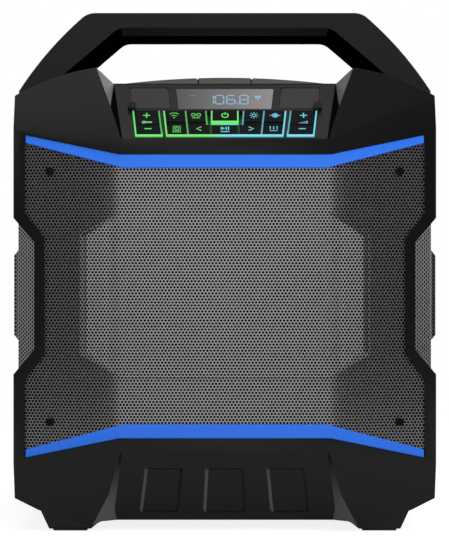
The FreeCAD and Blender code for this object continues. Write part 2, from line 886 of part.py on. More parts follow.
def build_rear_panel():
    panel = box(
        "rear_plate",
        ("-rear_half", f"{PANEL_BACK_Y} - rear_panel", "rear_low"),
        ("rear_half", PANEL_BACK_Y, "rear_high"),
    )
    hole = box(
        "inlet_hole",
        ("-(inlet_half + fit_gap)", f"{REAR_RIM}", "inlet_height - inlet_half_height - fit_gap"),
        ("inlet_half + fit_gap", f"{BACK}", "inlet_height + inlet_half_height + fit_gap"),
    )
    tools = [hole]
    for number, (x, z) in enumerate(rear_screw_places()):
        foot = (x, REAR_RIM, z)
        tools.append(rod(f"panel_screw_hole{number}", foot, "screw_shank + fit_gap / 3", "wall * 4", INWARD))
    lugs = []
    for side, sign in RIGHT_LEFT:
        near, far = ("cover_half + fit_gap", "cover_half + fit_gap + hinge_lug")
        low, high = (near, far) if sign > 0 else (minus(far), minus(near))
        middle = "inlet_height + cover_half_height"
        lugs.append(
            box(
                f"cover_lug_{side}",
                (low, f"{PANEL_BACK_Y} - overcut", f"{middle} - hinge_lug / 2"),
                (high, f"{PANEL_BACK_Y} + fit_gap + cover_sheet", f"{middle} + hinge_lug / 2"),
            )
        )
    line = (f"{PANEL_BACK_Y} + fit_gap + cover_sheet / 2", "inlet_height + cover_half_height")
    foot = ("-cover_half * 2", *line)
    tools.append(rod("cover_pin_hole", foot, "hinge_pin + fit_gap", "cover_half * 4", V(1, 0, 0)))
    node(cut("rear_panel_form", fuse("rear_panel_solid", [panel] + lugs), tools), "rear_panel")
    screws = []
    for number, (x, z) in enumerate(rear_screw_places()):
        foot = (x, f"{REAR_RIM} + screw_short", z)
        length = "rear_panel + wall - screw_short"
        shank = rod(f"case_screw_shank{number}", foot, "screw_shank", length, INWARD)
        foot = (x, PANEL_BACK_Y, z)
        head = rod(f"case_screw_head{number}", foot, "screw_head", "screw_head_height", INWARD)
        screws.append(fuse(f"case_screw{number}", [shank, head]))
    node(group("case_screw_group", screws), "case_screws")


# Strips and grilles


def build_strips():
    """The two coloured strips that fill the ends of the opening."""
    climb = "fit_gap * (window_end_high - window_high) / (window_half - window_bend_half)"
    fall = "fit_gap * (window_low - window_end_low) / (window_half - window_bend_half)"
    upper = mirrored(
        [
            ("0", "window_high - strip_mid"),
            ("window_bend_half - strip_mid / 4", "window_high - strip_mid"),
            ("window_half - fit_gap", "window_end_high - strip_end"),
            ("window_half - fit_gap", f"window_end_high - {climb}"),
            ("window_bend_half", "window_high"),
            ("0", "window_high"),
        ]
    )
    lower = mirrored(
        [
            ("0", "window_low"),
            ("window_bend_half", "window_low"),
            ("window_half - fit_gap", f"window_end_low + {fall}"),
            ("window_half - fit_gap", "window_end_low + strip_end"),
            ("window_bend_half - strip_mid / 4", "window_low + strip_mid"),
            ("0", "window_low + strip_mid"),
        ]
    )
    for name, outline in (("accent_strip_upper", upper), ("accent_strip_lower", lower)):
        body = add_body(f"{name}_bar")
        back = f"({FRONT} + strip_setback + strip_depth)"
        sketch = add_sketch(body, f"{name}_outline", "XZ_Plane", minus(back), outline)
        pad(body, sketch, "strip_depth")
        node(cut(f"{name}_form", body, wing_slabs(f"{name}_wing", "strip_setback")), name)


WING_SLOPE = "(wing_setback / (case_half - flat_half))"
WING_LENGTH = f"sqrt(1 + {WING_SLOPE} ^ 2)"
CREASE_END = f"(flat_half + grille_roll * {WING_SLOPE} / {WING_LENGTH})"


def wing_drop(x):
    """How far the wing of the grille lies behind its middle, at an x beyond the soft crease."""
    return f"(grille_roll * (1 - 1 / {WING_LENGTH}) + ({x} - {CREASE_END}) * {WING_SLOPE})"


def front_grille_form(name, setback):
    """Solid behind the pressed front of the grille: soft creases, flat wings, raised plateau."""
    body = add_body(name)
    face = f"{FRONT} + grille_setback + {setback}"
    back = f"{FRONT} + baffle_setback + {setback}"
    outline = [
        ("-window_half", back),
        ("window_half", back),
        ("window_half", f"{face} + {wing_drop('window_half')}"),
        (CREASE_END, f"{face} + {wing_drop(CREASE_END)}"),
        ("flat_half", face),
        ("-flat_half", face),
        (f"-{CREASE_END}", f"{face} + {wing_drop(CREASE_END)}"),
        ("-window_half", f"{face} + {wing_drop('window_half')}"),
    ]
    arcs = {3: "-grille_roll", 5: "-grille_roll"}
    sketch = add_sketch(body, f"{name}_roll", "XY_Plane", "window_end_low", outline, arcs)
    pad(body, sketch, "window_end_high - window_end_low")
    sections = []
    for step, level, grow in (("top", face, "0"), ("foot", f"{face} + bevel_depth", "bevel_run")):
        octagon = mirrored(
            [
                ("0", f"plateau_bend_low - {grow}"),
                (f"flat_half + {grow} / 2", f"plateau_bend_low - {grow}"),
                (f"plateau_half + {grow}", f"plateau_low - {grow} / 2"),
                (f"plateau_half + {grow}", f"plateau_high + {grow} / 2"),
                (f"flat_half + {grow} / 2", f"plateau_bend_high + {grow}"),
                ("0", f"plateau_bend_high + {grow}"),
            ]
        )
        sections.append(add_sketch(body, f"{name}_{step}", "XZ_Plane", f"-({level})", octagon))
    loft(body, f"{name}_plateau", *sections)
    return body


def grille_screw_places():
    return [
        (f"{sign} * grille_screw_half", z)
        for _, sign in RIGHT_LEFT
        for z in ("grille_screw_low", "grille_screw_high")
    ]


GRILLE_AT_SCREW = f"({FRONT} + grille_setback + {wing_drop('grille_screw_half')})"


def grille_vents():
    """Staggered six-sided openings, a coarse stand-in for the fine holes of the pressed sheet."""
    vents = []
    outermost = VENT_COLUMNS // 2
    across = f"window_waist_half / {outermost + VENT_MARGIN}"
    rise = f"(window_high - window_low) / {VENT_ROWS + VENT_MARGIN}"
    for column in range(-outermost, outermost + 1):
        count = VENT_ROWS - column % 2
        for row in range(count):
            x = f"{column} * {across}"
            z = f"(window_low + window_high) / 2 + {row - (count - 1) / 2} * {rise}"
            vent = doc.addObject("Part::Prism", f"vent_{column + outermost}_{row}")
            vent.Polygon = 6
            vent.setExpression("Circumradius", bound("vent_radius"))
            vent.setExpression("Height", bound("baffle_setback"))
            vent.Placement = FreeCAD.Placement(at(x, FRONT, z), FreeCAD.Rotation(UPWARD, INWARD))
            vents.append(vent)
    return vents


def build_front_grille():
    front = front_grille_form("grille_front", "0")
    rear = front_grille_form("grille_rear", "sheet")
    skin = cut("grille_skin", front, [rear])
    inside = add_body("grille_edge")
    strip = "strip_mid + fit_gap"
    end = "strip_end + fit_gap"
    outline = mirrored(
        [
            ("0", f"window_low + {strip}"),
            ("window_bend_half - strip_mid / 4", f"window_low + {strip}"),
            ("window_half - fit_gap", f"window_end_low + {end}"),
            ("window_half - fit_gap", "window_notch_low - fit_gap / 2"),
            ("window_waist_half - fit_gap", "window_waist_low - fit_gap / 2"),
            ("window_waist_half - fit_gap", "window_waist_high + fit_gap / 2"),
            ("window_half - fit_gap", "window_notch_high + fit_gap / 2"),
            ("window_half - fit_gap", f"window_end_high - ({end})"),
            ("window_bend_half - strip_mid / 4", f"window_high - ({strip})"),
            ("0", f"window_high - ({strip})"),
        ]
    )
    sketch = add_sketch(inside, "grille_outline", "XZ_Plane", f"-({SPLIT})", outline)
    pad(inside, sketch, "split_setback + wall")
    trimmed = common("grille_trimmed", skin, inside)
    holes = [
        rod(f"grille_hole{number}", (x, FRONT, z), "screw_shank + fit_gap", "baffle_setback", INWARD)
        for number, (x, z) in enumerate(grille_screw_places())
    ]
    node(cut("front_grille_form", trimmed, holes + grille_vents()), "front_grille")
    screws = []
    for number, (x, z) in enumerate(grille_screw_places()):
        under = f"({GRILLE_AT_SCREW} - bevel_depth / 3)"
        foot = (x, f"{under} - screw_head_height", z)
        head = rod(f"grille_screw_head{number}", foot, "screw_head", "screw_head_height", INWARD)
        length = f"{BAFFLE_FRONT} - {under} - overcut"
        shank = rod(f"grille_screw_shank{number}", (x, under, z), "screw_shank", length, INWARD)
        screws.append(fuse(f"grille_screw{number}", [head, shank]))
    node(group("grille_screw_group", screws), "grille_screws")


def side_grille_form(name, sign, setback):
    """Solid behind one side grille: slanted ends, flat middle and raised plateau."""
    body = add_body(name)
    outline = [
        (f"waist_half - wall * 3 - {setback}", f"{STRAP_Y[-1]} + fit_gap"),
        (f"waist_half - {setback}", f"{STRAP_Y[-1]} + fit_gap"),
        (f"case_half - {setback}", f"{FLUSH_Y[-1]} + fit_gap"),
        (f"case_half - {setback}", f"{FLUSH_Y[1]} - fit_gap"),
        (f"waist_half - {setback}", f"{STRAP_Y[1]} - fit_gap"),
        (f"waist_half - wall * 3 - {setback}", f"{STRAP_Y[1]} - fit_gap"),
    ]
    outline = [(f"{sign} * ({x})", y) for x, y in outline]
    sketch = add_sketch(body, f"{name}_plan", "XY_Plane", "notch_low", outline)
    pad(body, sketch, "notch_high - notch_low")
    sections = []
    levels = (("top", "side_plateau_rise", "0"), ("foot", "-sheet", "side_plateau_run"))
    for step, rise, grow in levels:
        outline = [
            (f"-(side_plateau_half + {grow})", f"side_plateau_low - {grow}"),
            (f"side_plateau_half + {grow}", f"side_plateau_low - {grow}"),
            (f"side_plateau_half + {grow}", f"side_plateau_high + {grow}"),
            (f"-(side_plateau_half + {grow})", f"side_plateau_high + {grow}"),
        ]
        level = f"{sign} * (case_half + {rise} - {setback})"
        sections.append(add_sketch(body, f"{name}_{step}", "YZ_Plane", level, outline))
    loft(body, f"{name}_plateau", *sections)
    return body


def build_side_grilles():
    for side, sign in RIGHT_LEFT:
        front = side_grille_form(f"side_front_{side}", sign, "0")
        rear = side_grille_form(f"side_rear_{side}", sign, "sheet")
        skin = cut(f"side_skin_{side}", front, [rear])
        edge = notch_outline(f"side_edge_{side}", sign, "fit_gap")
        node(common(f"side_grille_form_{side}", skin, edge), f"side_grille_{side}")


# Control panel, in the frame of its own slope: x across, y up the slope, z out of it


def slanted(low, high, up):
    """A width that grows up the panel, from low at the foot of the keys to high at their top."""
    return f"({low} + ({high} - {low}) * ({up} - key_row_low) / (key_row_high - key_row_low))"


SIDE_INNER = ("side_block_inner_low", "side_block_inner_high")
SIDE_OUTER = ("side_block_outer_low", "side_block_outer_high")
MIDDLE = ("middle_block_low", "middle_block_high")
DIVIDER = ("divider_low", "divider_high")
SHORT_DIVIDER = ("short_divider_low", "short_divider_high")
POWER = ("power_half", "power_half")
LOW_ROW = ("key_row_low", "key_row_short")
TALL_ROW = ("key_row_short", "key_row_high")
HIGH_ROW = ("key_row_split", "key_row_high")

# name, side, inner edge, outer edge, row
KEYS = [
    ("key_microphone_down", -1, SIDE_INNER, SIDE_OUTER, LOW_ROW),
    ("key_microphone_up", -1, SIDE_INNER, SIDE_OUTER, TALL_ROW),
    ("key_volume_down", 1, SIDE_INNER, SIDE_OUTER, LOW_ROW),
    ("key_volume_up", 1, SIDE_INNER, SIDE_OUTER, TALL_ROW),
    ("key_wireless", -1, DIVIDER, MIDDLE, HIGH_ROW),
    ("key_link", -1, SHORT_DIVIDER, DIVIDER, HIGH_ROW),
    ("key_light", 1, SHORT_DIVIDER, DIVIDER, HIGH_ROW),
    ("key_colour", 1, DIVIDER, MIDDLE, HIGH_ROW),
    ("key_record", -1, DIVIDER, MIDDLE, LOW_ROW),
    ("key_previous", -1, POWER, DIVIDER, LOW_ROW),
    ("key_next", 1, POWER, DIVIDER, LOW_ROW),
    ("key_equaliser", 1, DIVIDER, MIDDLE, LOW_ROW),
]


def key_outline(side, inner, outer, row, gap):
    low, high = (f"({row[0]} + {gap})", f"({row[1]} - {gap})")
    margin = f"(guide_line / 2 + {gap})"
    corners = [
        (f"{slanted(*inner, low)} + {margin}", low),
        (f"{slanted(*outer, low)} - {margin}", low),
        (f"{slanted(*outer, high)} - {margin}", high),
        (f"{slanted(*inner, high)} + {margin}", high),
    ]
    return [(f"{side} * ({x})", y) for x, y in corners]


def build_key(name, outline):
    """Key cap with a stem down to its switch."""
    body = add_body(f"{name}_form", PANEL)
    xs = "(" + " + ".join(f"({x})" for x, y in outline) + ") / 4"
    ys = "(" + " + ".join(f"({y})" for x, y in outline) + ") / 4"
    pad(body, add_sketch(body, f"{name}_cap", "XY_Plane", "-key_cap", outline), "key_cap")
    stem = [
        (f"{xs} - key_stem", f"{ys} - key_stem"),
        (f"{xs} + key_stem", f"{ys} - key_stem"),
        (f"{xs} + key_stem", f"{ys} + key_stem"),
        (f"{xs} - key_stem", f"{ys} + key_stem"),
    ]
    foot = "-(key_board_depth - key_travel - key_gap)"
    sketch = add_sketch(body, f"{name}_stem", "XY_Plane", foot, stem)
    pad(body, sketch, "key_board_depth - key_travel - key_gap - key_cap / 2")
    return node(body, name)


def build_keys():
    for name, side, inner, outer, row in KEYS:
        build_key(name, key_outline(side, inner, outer, row, "key_gap"))
    half = "(power_half - guide_line - key_gap)"
    power = [
        (f"-{half}", "key_row_split + power_bar"),
        (half, "key_row_split + power_bar"),
        (half, "key_row_high - key_gap"),
        (f"-{half}", "key_row_high - key_gap"),
    ]
    build_key("key_power", power)
    half = "(power_half - guide_line / 2 - key_gap)"
    play = [
        (f"-{half}", "key_row_low + key_gap"),
        (half, "key_row_low + key_gap"),
        (half, "key_row_short - key_gap"),
        (f"-{half}", "key_row_short - key_gap"),
    ]
    build_key("key_play", play)


def guide_bar(name, side, edge, low, high):
    """Upright light line that follows an edge between two keys."""
    half = "guide_line / 2"
    corners = [
        (f"{slanted(*edge, low)} - {half}", low),
        (f"{slanted(*edge, low)} + {half}", low),
        (f"{slanted(*edge, high)} + {half}", high),
        (f"{slanted(*edge, high)} - {half}", high),
    ]
    body = add_body(name, PANEL)
    outline = [(f"{side} * ({x})", y) for x, y in corners]
    pad(body, add_sketch(body, f"{name}_outline", "XY_Plane", "-guide_depth", outline), "guide_depth")
    return body


def guide_bottom(name, side, inner, outer):
    """Broad light bar along the foot of a block of keys."""
    low, high = "guide_bar_low", "(key_row_low - fit_gap / 3)"
    corners = [
        (f"{slanted(*inner, low)}", low),
        (f"{slanted(*outer, low)}", low),
        (f"{slanted(*outer, high)} + guide_line / 2", high),
        (f"{slanted(*inner, high)} - guide_line / 2", high),
    ]
    body = add_body(name, PANEL)
    outline = [(f"{side} * ({x})", y) for x, y in corners]
    pad(body, add_sketch(body, f"{name}_outline", "XY_Plane", "-guide_depth", outline), "guide_depth")
    return body


def build_light_guides():
    low, high = "(key_row_low - fit_gap / 2)", "(key_row_high - fit_gap)"
    clusters = []
    for side, sign in RIGHT_LEFT:
        parts = [
            guide_bar(f"guide_outer_{side}", sign, SIDE_OUTER, low, high),
            guide_bar(f"guide_inner_{side}", sign, SIDE_INNER, low, high),
            guide_bottom(f"guide_foot_{side}", sign, SIDE_INNER, SIDE_OUTER),
        ]
        clusters.append(fuse(f"guide_side_{side}", parts))
    parts = []
    for side, sign in RIGHT_LEFT:
        parts.append(guide_bar(f"guide_middle_{side}", sign, MIDDLE, low, high))
        start = "key_row_low + fit_gap"
        clusters.append(guide_bar(f"guide_divider_{side}", sign, DIVIDER, start, high))
        start = "key_row_short + fit_gap"
        clusters.append(guide_bar(f"guide_short_{side}", sign, SHORT_DIVIDER, start, high))
    foot = add_body("guide_foot_middle", PANEL)
    level = "(key_row_low - fit_gap / 3)"
    outline = [
        (f"-({slanted(*MIDDLE, 'guide_bar_low')})", "guide_bar_low"),
        (slanted(*MIDDLE, "guide_bar_low"), "guide_bar_low"),
        (f"{slanted(*MIDDLE, level)} + guide_line / 2", level),
        (f"-({slanted(*MIDDLE, level)} + guide_line / 2)", level),
    ]
    sketch = add_sketch(foot, "guide_foot_outline", "XY_Plane", "-guide_depth", outline)
    pad(foot, sketch, "guide_depth")
    clusters.append(fuse("guide_middle", parts + [foot]))
    power = add_body("guide_power", PANEL)
    outer, inner = "power_half", "(power_half - guide_line)"
    outline = [
        (f"-{outer}", "key_row_split - fit_gap"),
        (outer, "key_row_split - fit_gap"),
        (outer, high),
        (inner, high),
        (inner, "key_row_split + power_bar - key_gap"),
        (f"-{inner}", "key_row_split + power_bar - key_gap"),
        (f"-{inner}", high),
        (f"-{outer}", high),
    ]
    pad(power, add_sketch(power, "guide_power_outline", "XY_Plane", "-guide_depth", outline), "guide_depth")
    clusters.append(power)
    node(group("guide_group", clusters), "key_light_guides")


def flap_outline(sign, gap):
    """A port flap in the plane of the panel, grown by a gap."""
    points = [
        (f"flap_inner_low - {gap}", f"flap_low - {gap}"),
        (f"flap_outer_low + {gap}", f"flap_low - {gap}"),
        (f"flap_outer_high + {gap}", f"flap_high + {gap}"),
        (f"flap_inner_high - {gap}", f"flap_high + {gap}"),
    ]
    return [(f"{sign} * ({x})", y) for x, y in points]


HINGE_LINE = "(flap_high + hinge_bead / 2)"


def build_control_panel():
    plate = add_body("panel_plate", PANEL)
    sketch = add_sketch(plate, "panel_outline", "XY_Plane", "-panel_sheet", panel_outline("fit_gap"))
    pad(plate, sketch, "panel_sheet")
    tools = []
    level = "(guide_bar_low - fit_gap)"
    edge = f"({slanted(*MIDDLE, 'key_row_high')} + guide_line)"
    foot = f"({slanted(*MIDDLE, level)} + guide_line)"
    outline = [(f"-{foot}", level), (foot, level), (edge, "key_row_high"), (f"-{edge}", "key_row_high")]
    body = add_body("panel_block_middle", PANEL)
    sketch = add_sketch(body, "panel_block_middle_outline", "XY_Plane", "-wall", outline)
    pad(body, sketch, "wall * 2")
    tools.append(body)
    for side, sign in RIGHT_LEFT:
        body = add_body(f"panel_block_{side}", PANEL)
        points = [
            (f"{slanted(*SIDE_INNER, level)} - guide_line", level),
            (f"{slanted(*SIDE_OUTER, level)} + guide_line", level),
            (f"{slanted(*SIDE_OUTER, 'key_row_high')} + guide_line", "key_row_high"),
            (f"{slanted(*SIDE_INNER, 'key_row_high')} - guide_line", "key_row_high"),
        ]
        outline = [(f"{sign} * ({x})", y) for x, y in points]
        sketch = add_sketch(body, f"panel_block_{side}_outline", "XY_Plane", "-wall", outline)
        pad(body, sketch, "wall * 2")
        tools.append(body)
        recess = add_body(f"flap_recess_{side}", PANEL)
        floor = "-(flap_sheet + fit_gap)"
        outline = flap_outline(sign, "fit_gap")
        sketch = add_sketch(recess, f"flap_recess_outline_{side}", "XY_Plane", floor, outline)
        pad(recess, sketch, "wall")
        tools.append(recess)
        start = (f"{sign} * (flap_inner_high - fit_gap)", HINGE_LINE, "-hinge_bead / 2")
        length = "flap_outer_high - flap_inner_high + fit_gap * 2"
        groove = rod(f"hinge_groove_{side}", start, "hinge_bead + fit_gap * 2", length, V(sign, 0, 0), PANEL)
        tools.append(groove)
        room = box(
            f"socket_room_{side}",
            (f"{sign} * socket_middle - socket_room_half", "flap_low + socket_room_foot", "-wall"),
            (f"{sign} * socket_middle + socket_room_half", "flap_high - socket_room_head", "wall"),
            PANEL,
        )
        tools.append(room)
    window = add_body("display_opening", PANEL)
    sketch = add_sketch(window, "display_opening_outline", "XY_Plane", "-wall", display_outline("fit_gap"))
    pad(window, sketch, "wall * 2")
    tools.append(window)
    node(cut("control_panel_form", plate, tools), "control_panel")


def display_outline(gap):
    return [
        (f"-(display_low_half + {gap})", f"display_low - {gap}"),
        (f"display_low_half + {gap}", f"display_low - {gap}"),
        (f"display_high_half + {gap}", f"display_high + {gap}"),
        (f"-(display_high_half + {gap})", f"display_high + {gap}"),
    ]


def build_display():
    glass = add_body("display_glass", PANEL)
    sketch = add_sketch(glass, "display_outline", "XY_Plane", "-display_sheet", display_outline("0"))
    pad(glass, sketch, "display_sheet")
    node(glass, "display_window")
    module = box(
        "display_box",
        ("-display_low_half", "display_low + board_margin", "-(display_sheet + display_module)"),
        ("display_low_half", "display_high - board_margin", "-(display_sheet + fit_gap / 3)"),
        PANEL,
    )
    node(module, "display_module")


def build_flap(name, side, sign):
    """Rubber cover over a row of sockets, with its hinge bead and its pull tab."""
    body = add_body(f"{name}_sheet", PANEL)
    sketch = add_sketch(body, f"{name}_outline", "XY_Plane", "-flap_sheet", flap_outline(sign, "0"))
    pad(body, sketch, "flap_sheet + flap_rise")
    tab = [
        (f"{sign} * tab_inner", "tab_low"),
        (f"{sign} * tab_outer", "tab_low"),
        (f"{sign} * tab_outer", "tab_high"),
        (f"{sign} * tab_inner", "tab_high"),
    ]
    pad(body, add_sketch(body, f"{name}_tab", "XY_Plane", "fit_gap", tab), "tab_rise")
    start = (f"{sign} * (flap_inner_high + hinge_run)", HINGE_LINE, "-hinge_bead / 2")
    length = "flap_outer_high - flap_inner_high - hinge_run * 2"
    bead = rod(f"{name}_bead", start, "hinge_bead", length, V(sign, 0, 0), PANEL)
    node(fuse(f"{name}_form", [body, bead]), name)


def socket_tube(name, x, y, outer, inner, floor):
    """Round socket whose mouth faces out of the panel."""
    foot = f"-({floor}) - jack_length"
    shell = rod(f"{name}_shell", (x, y, foot), outer, "jack_length", UPWARD, PANEL)
    bore = rod(f"{name}_bore", (x, y, f"{foot} + socket_floor"), inner, "jack_length", UPWARD, PANEL)
    return cut(f"{name}_tube", shell, [bore])


def build_sockets():
    floor = "flap_sheet + fit_gap * 2"
    jacks = []
    for number in (-1, 1):
        middle = f"-socket_middle + {number} * jack_pitch / 2"
        jacks.append(socket_tube(f"jack{number}", middle, "jack_row", "jack_body", "jack_bore", floor))
    node(group("jack_group", jacks), "mic_jacks")
    aux = socket_tube("aux", "socket_middle + aux_offset", "jack_row", "aux_body", "aux_bore", floor)
    node(aux, "aux_socket")
    middle = "(socket_middle - usb_offset)"
    left, right = f"{middle} - usb_width / 2", f"{middle} + usb_width / 2"
    low, high = "jack_row - usb_height / 2", "jack_row + usb_height / 2"
    mouth = f"-({floor})"
    foot = f"{mouth} - jack_length"
    shell = box("usb_block", (left, low, foot), (right, high, mouth), PANEL)
    hollow = box(
        "usb_hollow",
        (f"{left} + usb_shell", f"{low} + usb_shell", f"{foot} + socket_floor"),
        (f"{right} - usb_shell", f"{high} - usb_shell", "wall"),
        PANEL,
    )
    tongue = box(
        "usb_tongue_bar",
        (f"{left} + usb_shell * 2", f"{high} - usb_shell - usb_tongue", foot),
        (f"{right} - usb_shell * 2", f"{high} - usb_shell - fit_gap", f"{mouth} - usb_shell"),
        PANEL,
    )
    node(fuse("usb_form", [cut("usb_shell_form", shell, [hollow]), tongue]), "usb_port")
    board = box(
        "key_board_plate",
        ("-(pod_half - board_margin)", "pod_margin + board_margin / 2", "-(key_board_depth + board)"),
        ("pod_half - board_margin", "display_low - board_margin", "-key_board_depth"),
        PANEL,
    )
    node(board, "key_board")
    board = box(
        "port_board_plate",
        ("-(pod_half - board_margin)", "display_low + board_margin", f"{foot} - board"),
        ("pod_half - board_margin", "display_high - board_margin", foot),
        PANEL,
    )
    node(board, "port_board")


# Loudspeaker drivers: each is turned about the Y axis of its own frame, which points inward


def turned(name, outline, placement, arcs=None):
    """Solid of revolution from an outline of radius and depth."""
    body = add_body(name, placement)
    revolve(body, add_sketch(body, f"{name}_profile", "XY_Plane", "0", outline, arcs))
    return body


def dome_bow(radius, rise):
    """Radius of the sphere whose cap has this radius at its rim and rises this much."""
    return f"(({radius} ^ 2 + {rise} ^ 2) / (2 * {rise}))"


def build_woofer():
    place = FreeCAD.Placement(at("0", BAFFLE_FRONT, "woofer_height"), FreeCAD.Rotation())
    hole = "(woofer_hole - fit_gap * 2)"
    basket = turned(
        "basket_wall",
        [
            ("woofer_flange", "-woofer_flange_height"),
            ("woofer_flange", "0"),
            (hole, "0"),
            ("basket_back", "basket_depth"),
            ("cone_neck + wall", "basket_depth"),
            ("cone_neck + wall", "basket_depth - cone_wall * 2"),
            ("basket_back - cone_wall", "basket_depth - cone_wall * 2"),
            (f"{hole} - cone_wall * 2", "0"),
            (f"{hole} - cone_wall * 2", "-woofer_flange_height"),
        ],
        place,
    )
    windows = []
    for number in range(BASKET_WINDOWS):
        turn = FreeCAD.Rotation(V(0, 1, 0), 360.0 * number / BASKET_WINDOWS)
        tool = add_body(f"basket_window{number}", place.multiply(FreeCAD.Placement(V(0, 0, 0), turn)))
        inner, outer = "(basket_back + wall)", "(woofer_hole - wall * 2)"
        half = BASKET_WINDOW_TURN / 2
        outline = [
            (f"{inner} * cos({half})", f"-{inner} * sin({half})"),
            (f"{outer} * cos({half})", f"-{outer} * sin({half})"),
            (f"{outer} * cos({half})", f"{outer} * sin({half})"),
            (f"{inner} * cos({half})", f"{inner} * sin({half})"),
        ]
        sketch = add_sketch(tool, f"basket_window_outline{number}", "XZ_Plane", "-basket_depth", outline)
        pad(tool, sketch, "basket_depth - wall")
        windows.append(tool)
    node(cut("basket_form", basket, windows), "woofer_basket")
    gap_inner, gap_outer = "(cone_neck - magnet_gap * 1.5)", "(cone_neck + magnet_gap)"
    top = "(basket_depth + plate_height)"
    bottom = f"({top} + magnet_height)"
    magnet = turned(
        "magnet_stack",
        [
            ("0", "basket_depth - wall"),
            (gap_inner, "basket_depth - wall"),
            (gap_inner, bottom),
            (gap_outer, bottom),
            (gap_outer, "basket_depth"),
            ("plate_radius", "basket_depth"),
            ("plate_radius", top),
            ("magnet_radius", top),
            ("magnet_radius", bottom),
            ("plate_radius", bottom),
            ("plate_radius", f"{bottom} + plate_height"),
            ("0", f"{bottom} + plate_height"),
        ],
        place,
    )
    node(magnet, "woofer_magnet")
    fall = "(cone_depth / (cone_edge - cone_neck))"
    rim = "(-cone_wall * 2)"
    at_cap = f"({rim} + (cone_edge - cap_radius) * {fall})"
    neck = f"({rim} + cone_depth)"
    under = "(cap_radius - cone_wall)"
    cone = turned(
        "cone_shell",
        [
            ("0", f"{at_cap} - cap_rise"),
            ("cap_radius", at_cap),
            ("cone_edge", rim),
            ("cone_edge", f"{rim} + cone_wall"),
            ("cone_neck + cone_wall / 2", f"{neck} + cone_wall"),
            ("cone_neck + cone_wall / 2", f"{neck} + coil_length"),
            ("cone_neck - cone_wall / 4", f"{neck} + coil_length"),
            ("cone_neck - cone_wall / 4", f"{neck} - cone_wall / 2"),
            (under, f"{at_cap} + cone_wall"),
            ("0", f"{at_cap} - cap_rise + cone_wall"),
        ],
        place,
        {0: dome_bow("cap_radius", "cap_rise"), 8: minus(dome_bow(under, "cap_rise"))},
    )
    node(cone, "woofer_cone")
    inner, outer = "(surround_middle - surround_roll)", "(surround_middle + surround_roll)"
    seat = "-woofer_flange_height"
    skin = "(cone_wall * 0.6)"
    roll = turned(
        "roll_ring",
        [
            (inner, seat),
            (outer, seat),
            (f"{outer} + wall", seat),
            (f"{outer} + wall", f"{seat} - {skin}"),
            (f"{outer} + {skin} / 2", f"{seat} - {skin}"),
            (f"{inner}", f"{seat} - {skin}"),
        ],
        place,
        {4: f"-(surround_roll + {skin} / 4 + {ARC_SLACK})"},
    )
    node(roll, "woofer_surround")


def build_tweeter():
    place = FreeCAD.Placement(at("tweeter_half", BAFFLE_FRONT, "tweeter_height"), FreeCAD.Rotation())
    plate = turned(
        "tweeter_plate",
        [
            ("0", "dome_rise + fit_gap"),
            ("dome_radius + fit_gap * 2", "dome_rise + fit_gap"),
            ("dome_radius + fit_gap * 2", "fit_gap"),
            ("tweeter_mouth", "-panel_sheet"),
            ("tweeter_flange", "-panel_sheet"),
            ("tweeter_flange", "0"),
            ("tweeter_body", "0"),
            ("tweeter_body", "tweeter_depth"),
            ("0", "tweeter_depth"),
        ],
        place,
    )
    node(plate, "tweeter_body")
    dome = turned(
        "dome_shell",
        [
            ("0", "-dome_rise + fit_gap"),
            ("dome_radius", "fit_gap"),
            ("dome_radius", "cone_wall"),
            ("0", "cone_wall"),
        ],
        place,
        {0: dome_bow("dome_radius", "dome_rise")},
    )
    node(dome, "tweeter_dome")


def build_radiators():
    for side, sign in RIGHT_LEFT:
        place = FreeCAD.Placement(
            at(f"{sign} * (case_half - wall)", "0", "radiator_height"),
            FreeCAD.Rotation(V(0, 0, 1), 90 * sign),
        )
        inner = "(radiator_roll_middle - radiator_roll)"
        outer = "(radiator_roll_middle + radiator_roll)"
        skin = "(cone_wall / 2)"
        ring = turned(
            f"radiator_ring_{side}",
            [
                ("radiator_flange", "0"),
                ("radiator_flange", "radiator_flange_height"),
                (outer, "radiator_flange_height"),
                (outer, "0"),
            ],
            place,
        )
        node(ring, f"radiator_frame_{side}")
        roll = turned(
            f"radiator_roll_{side}",
            [
                (inner, "0"),
                ("radiator_hole - fit_gap", "0"),
                ("radiator_hole - fit_gap", f"-{skin}"),
                (f"{outer} + {skin} / 2", f"-{skin}"),
                (inner, f"-{skin}"),
            ],
            place,
            {3: f"-(radiator_roll + {skin} / 4 + {ARC_SLACK})"},
        )
        node(roll, f"radiator_surround_{side}")
        cone = turned(
            f"radiator_plate_{side}",
            [
                ("0", "0"),
                ("radiator_weight", "0"),
                ("radiator_cone", "-cone_wall / 4"),
                ("radiator_cone", "radiator_cone_height"),
                ("radiator_weight", "radiator_cone_height"),
                ("radiator_weight", "radiator_cone_height * 3"),
                ("0", "radiator_cone_height * 3"),
            ],
            place,
        )
        node(cone, f"radiator_cone_{side}")


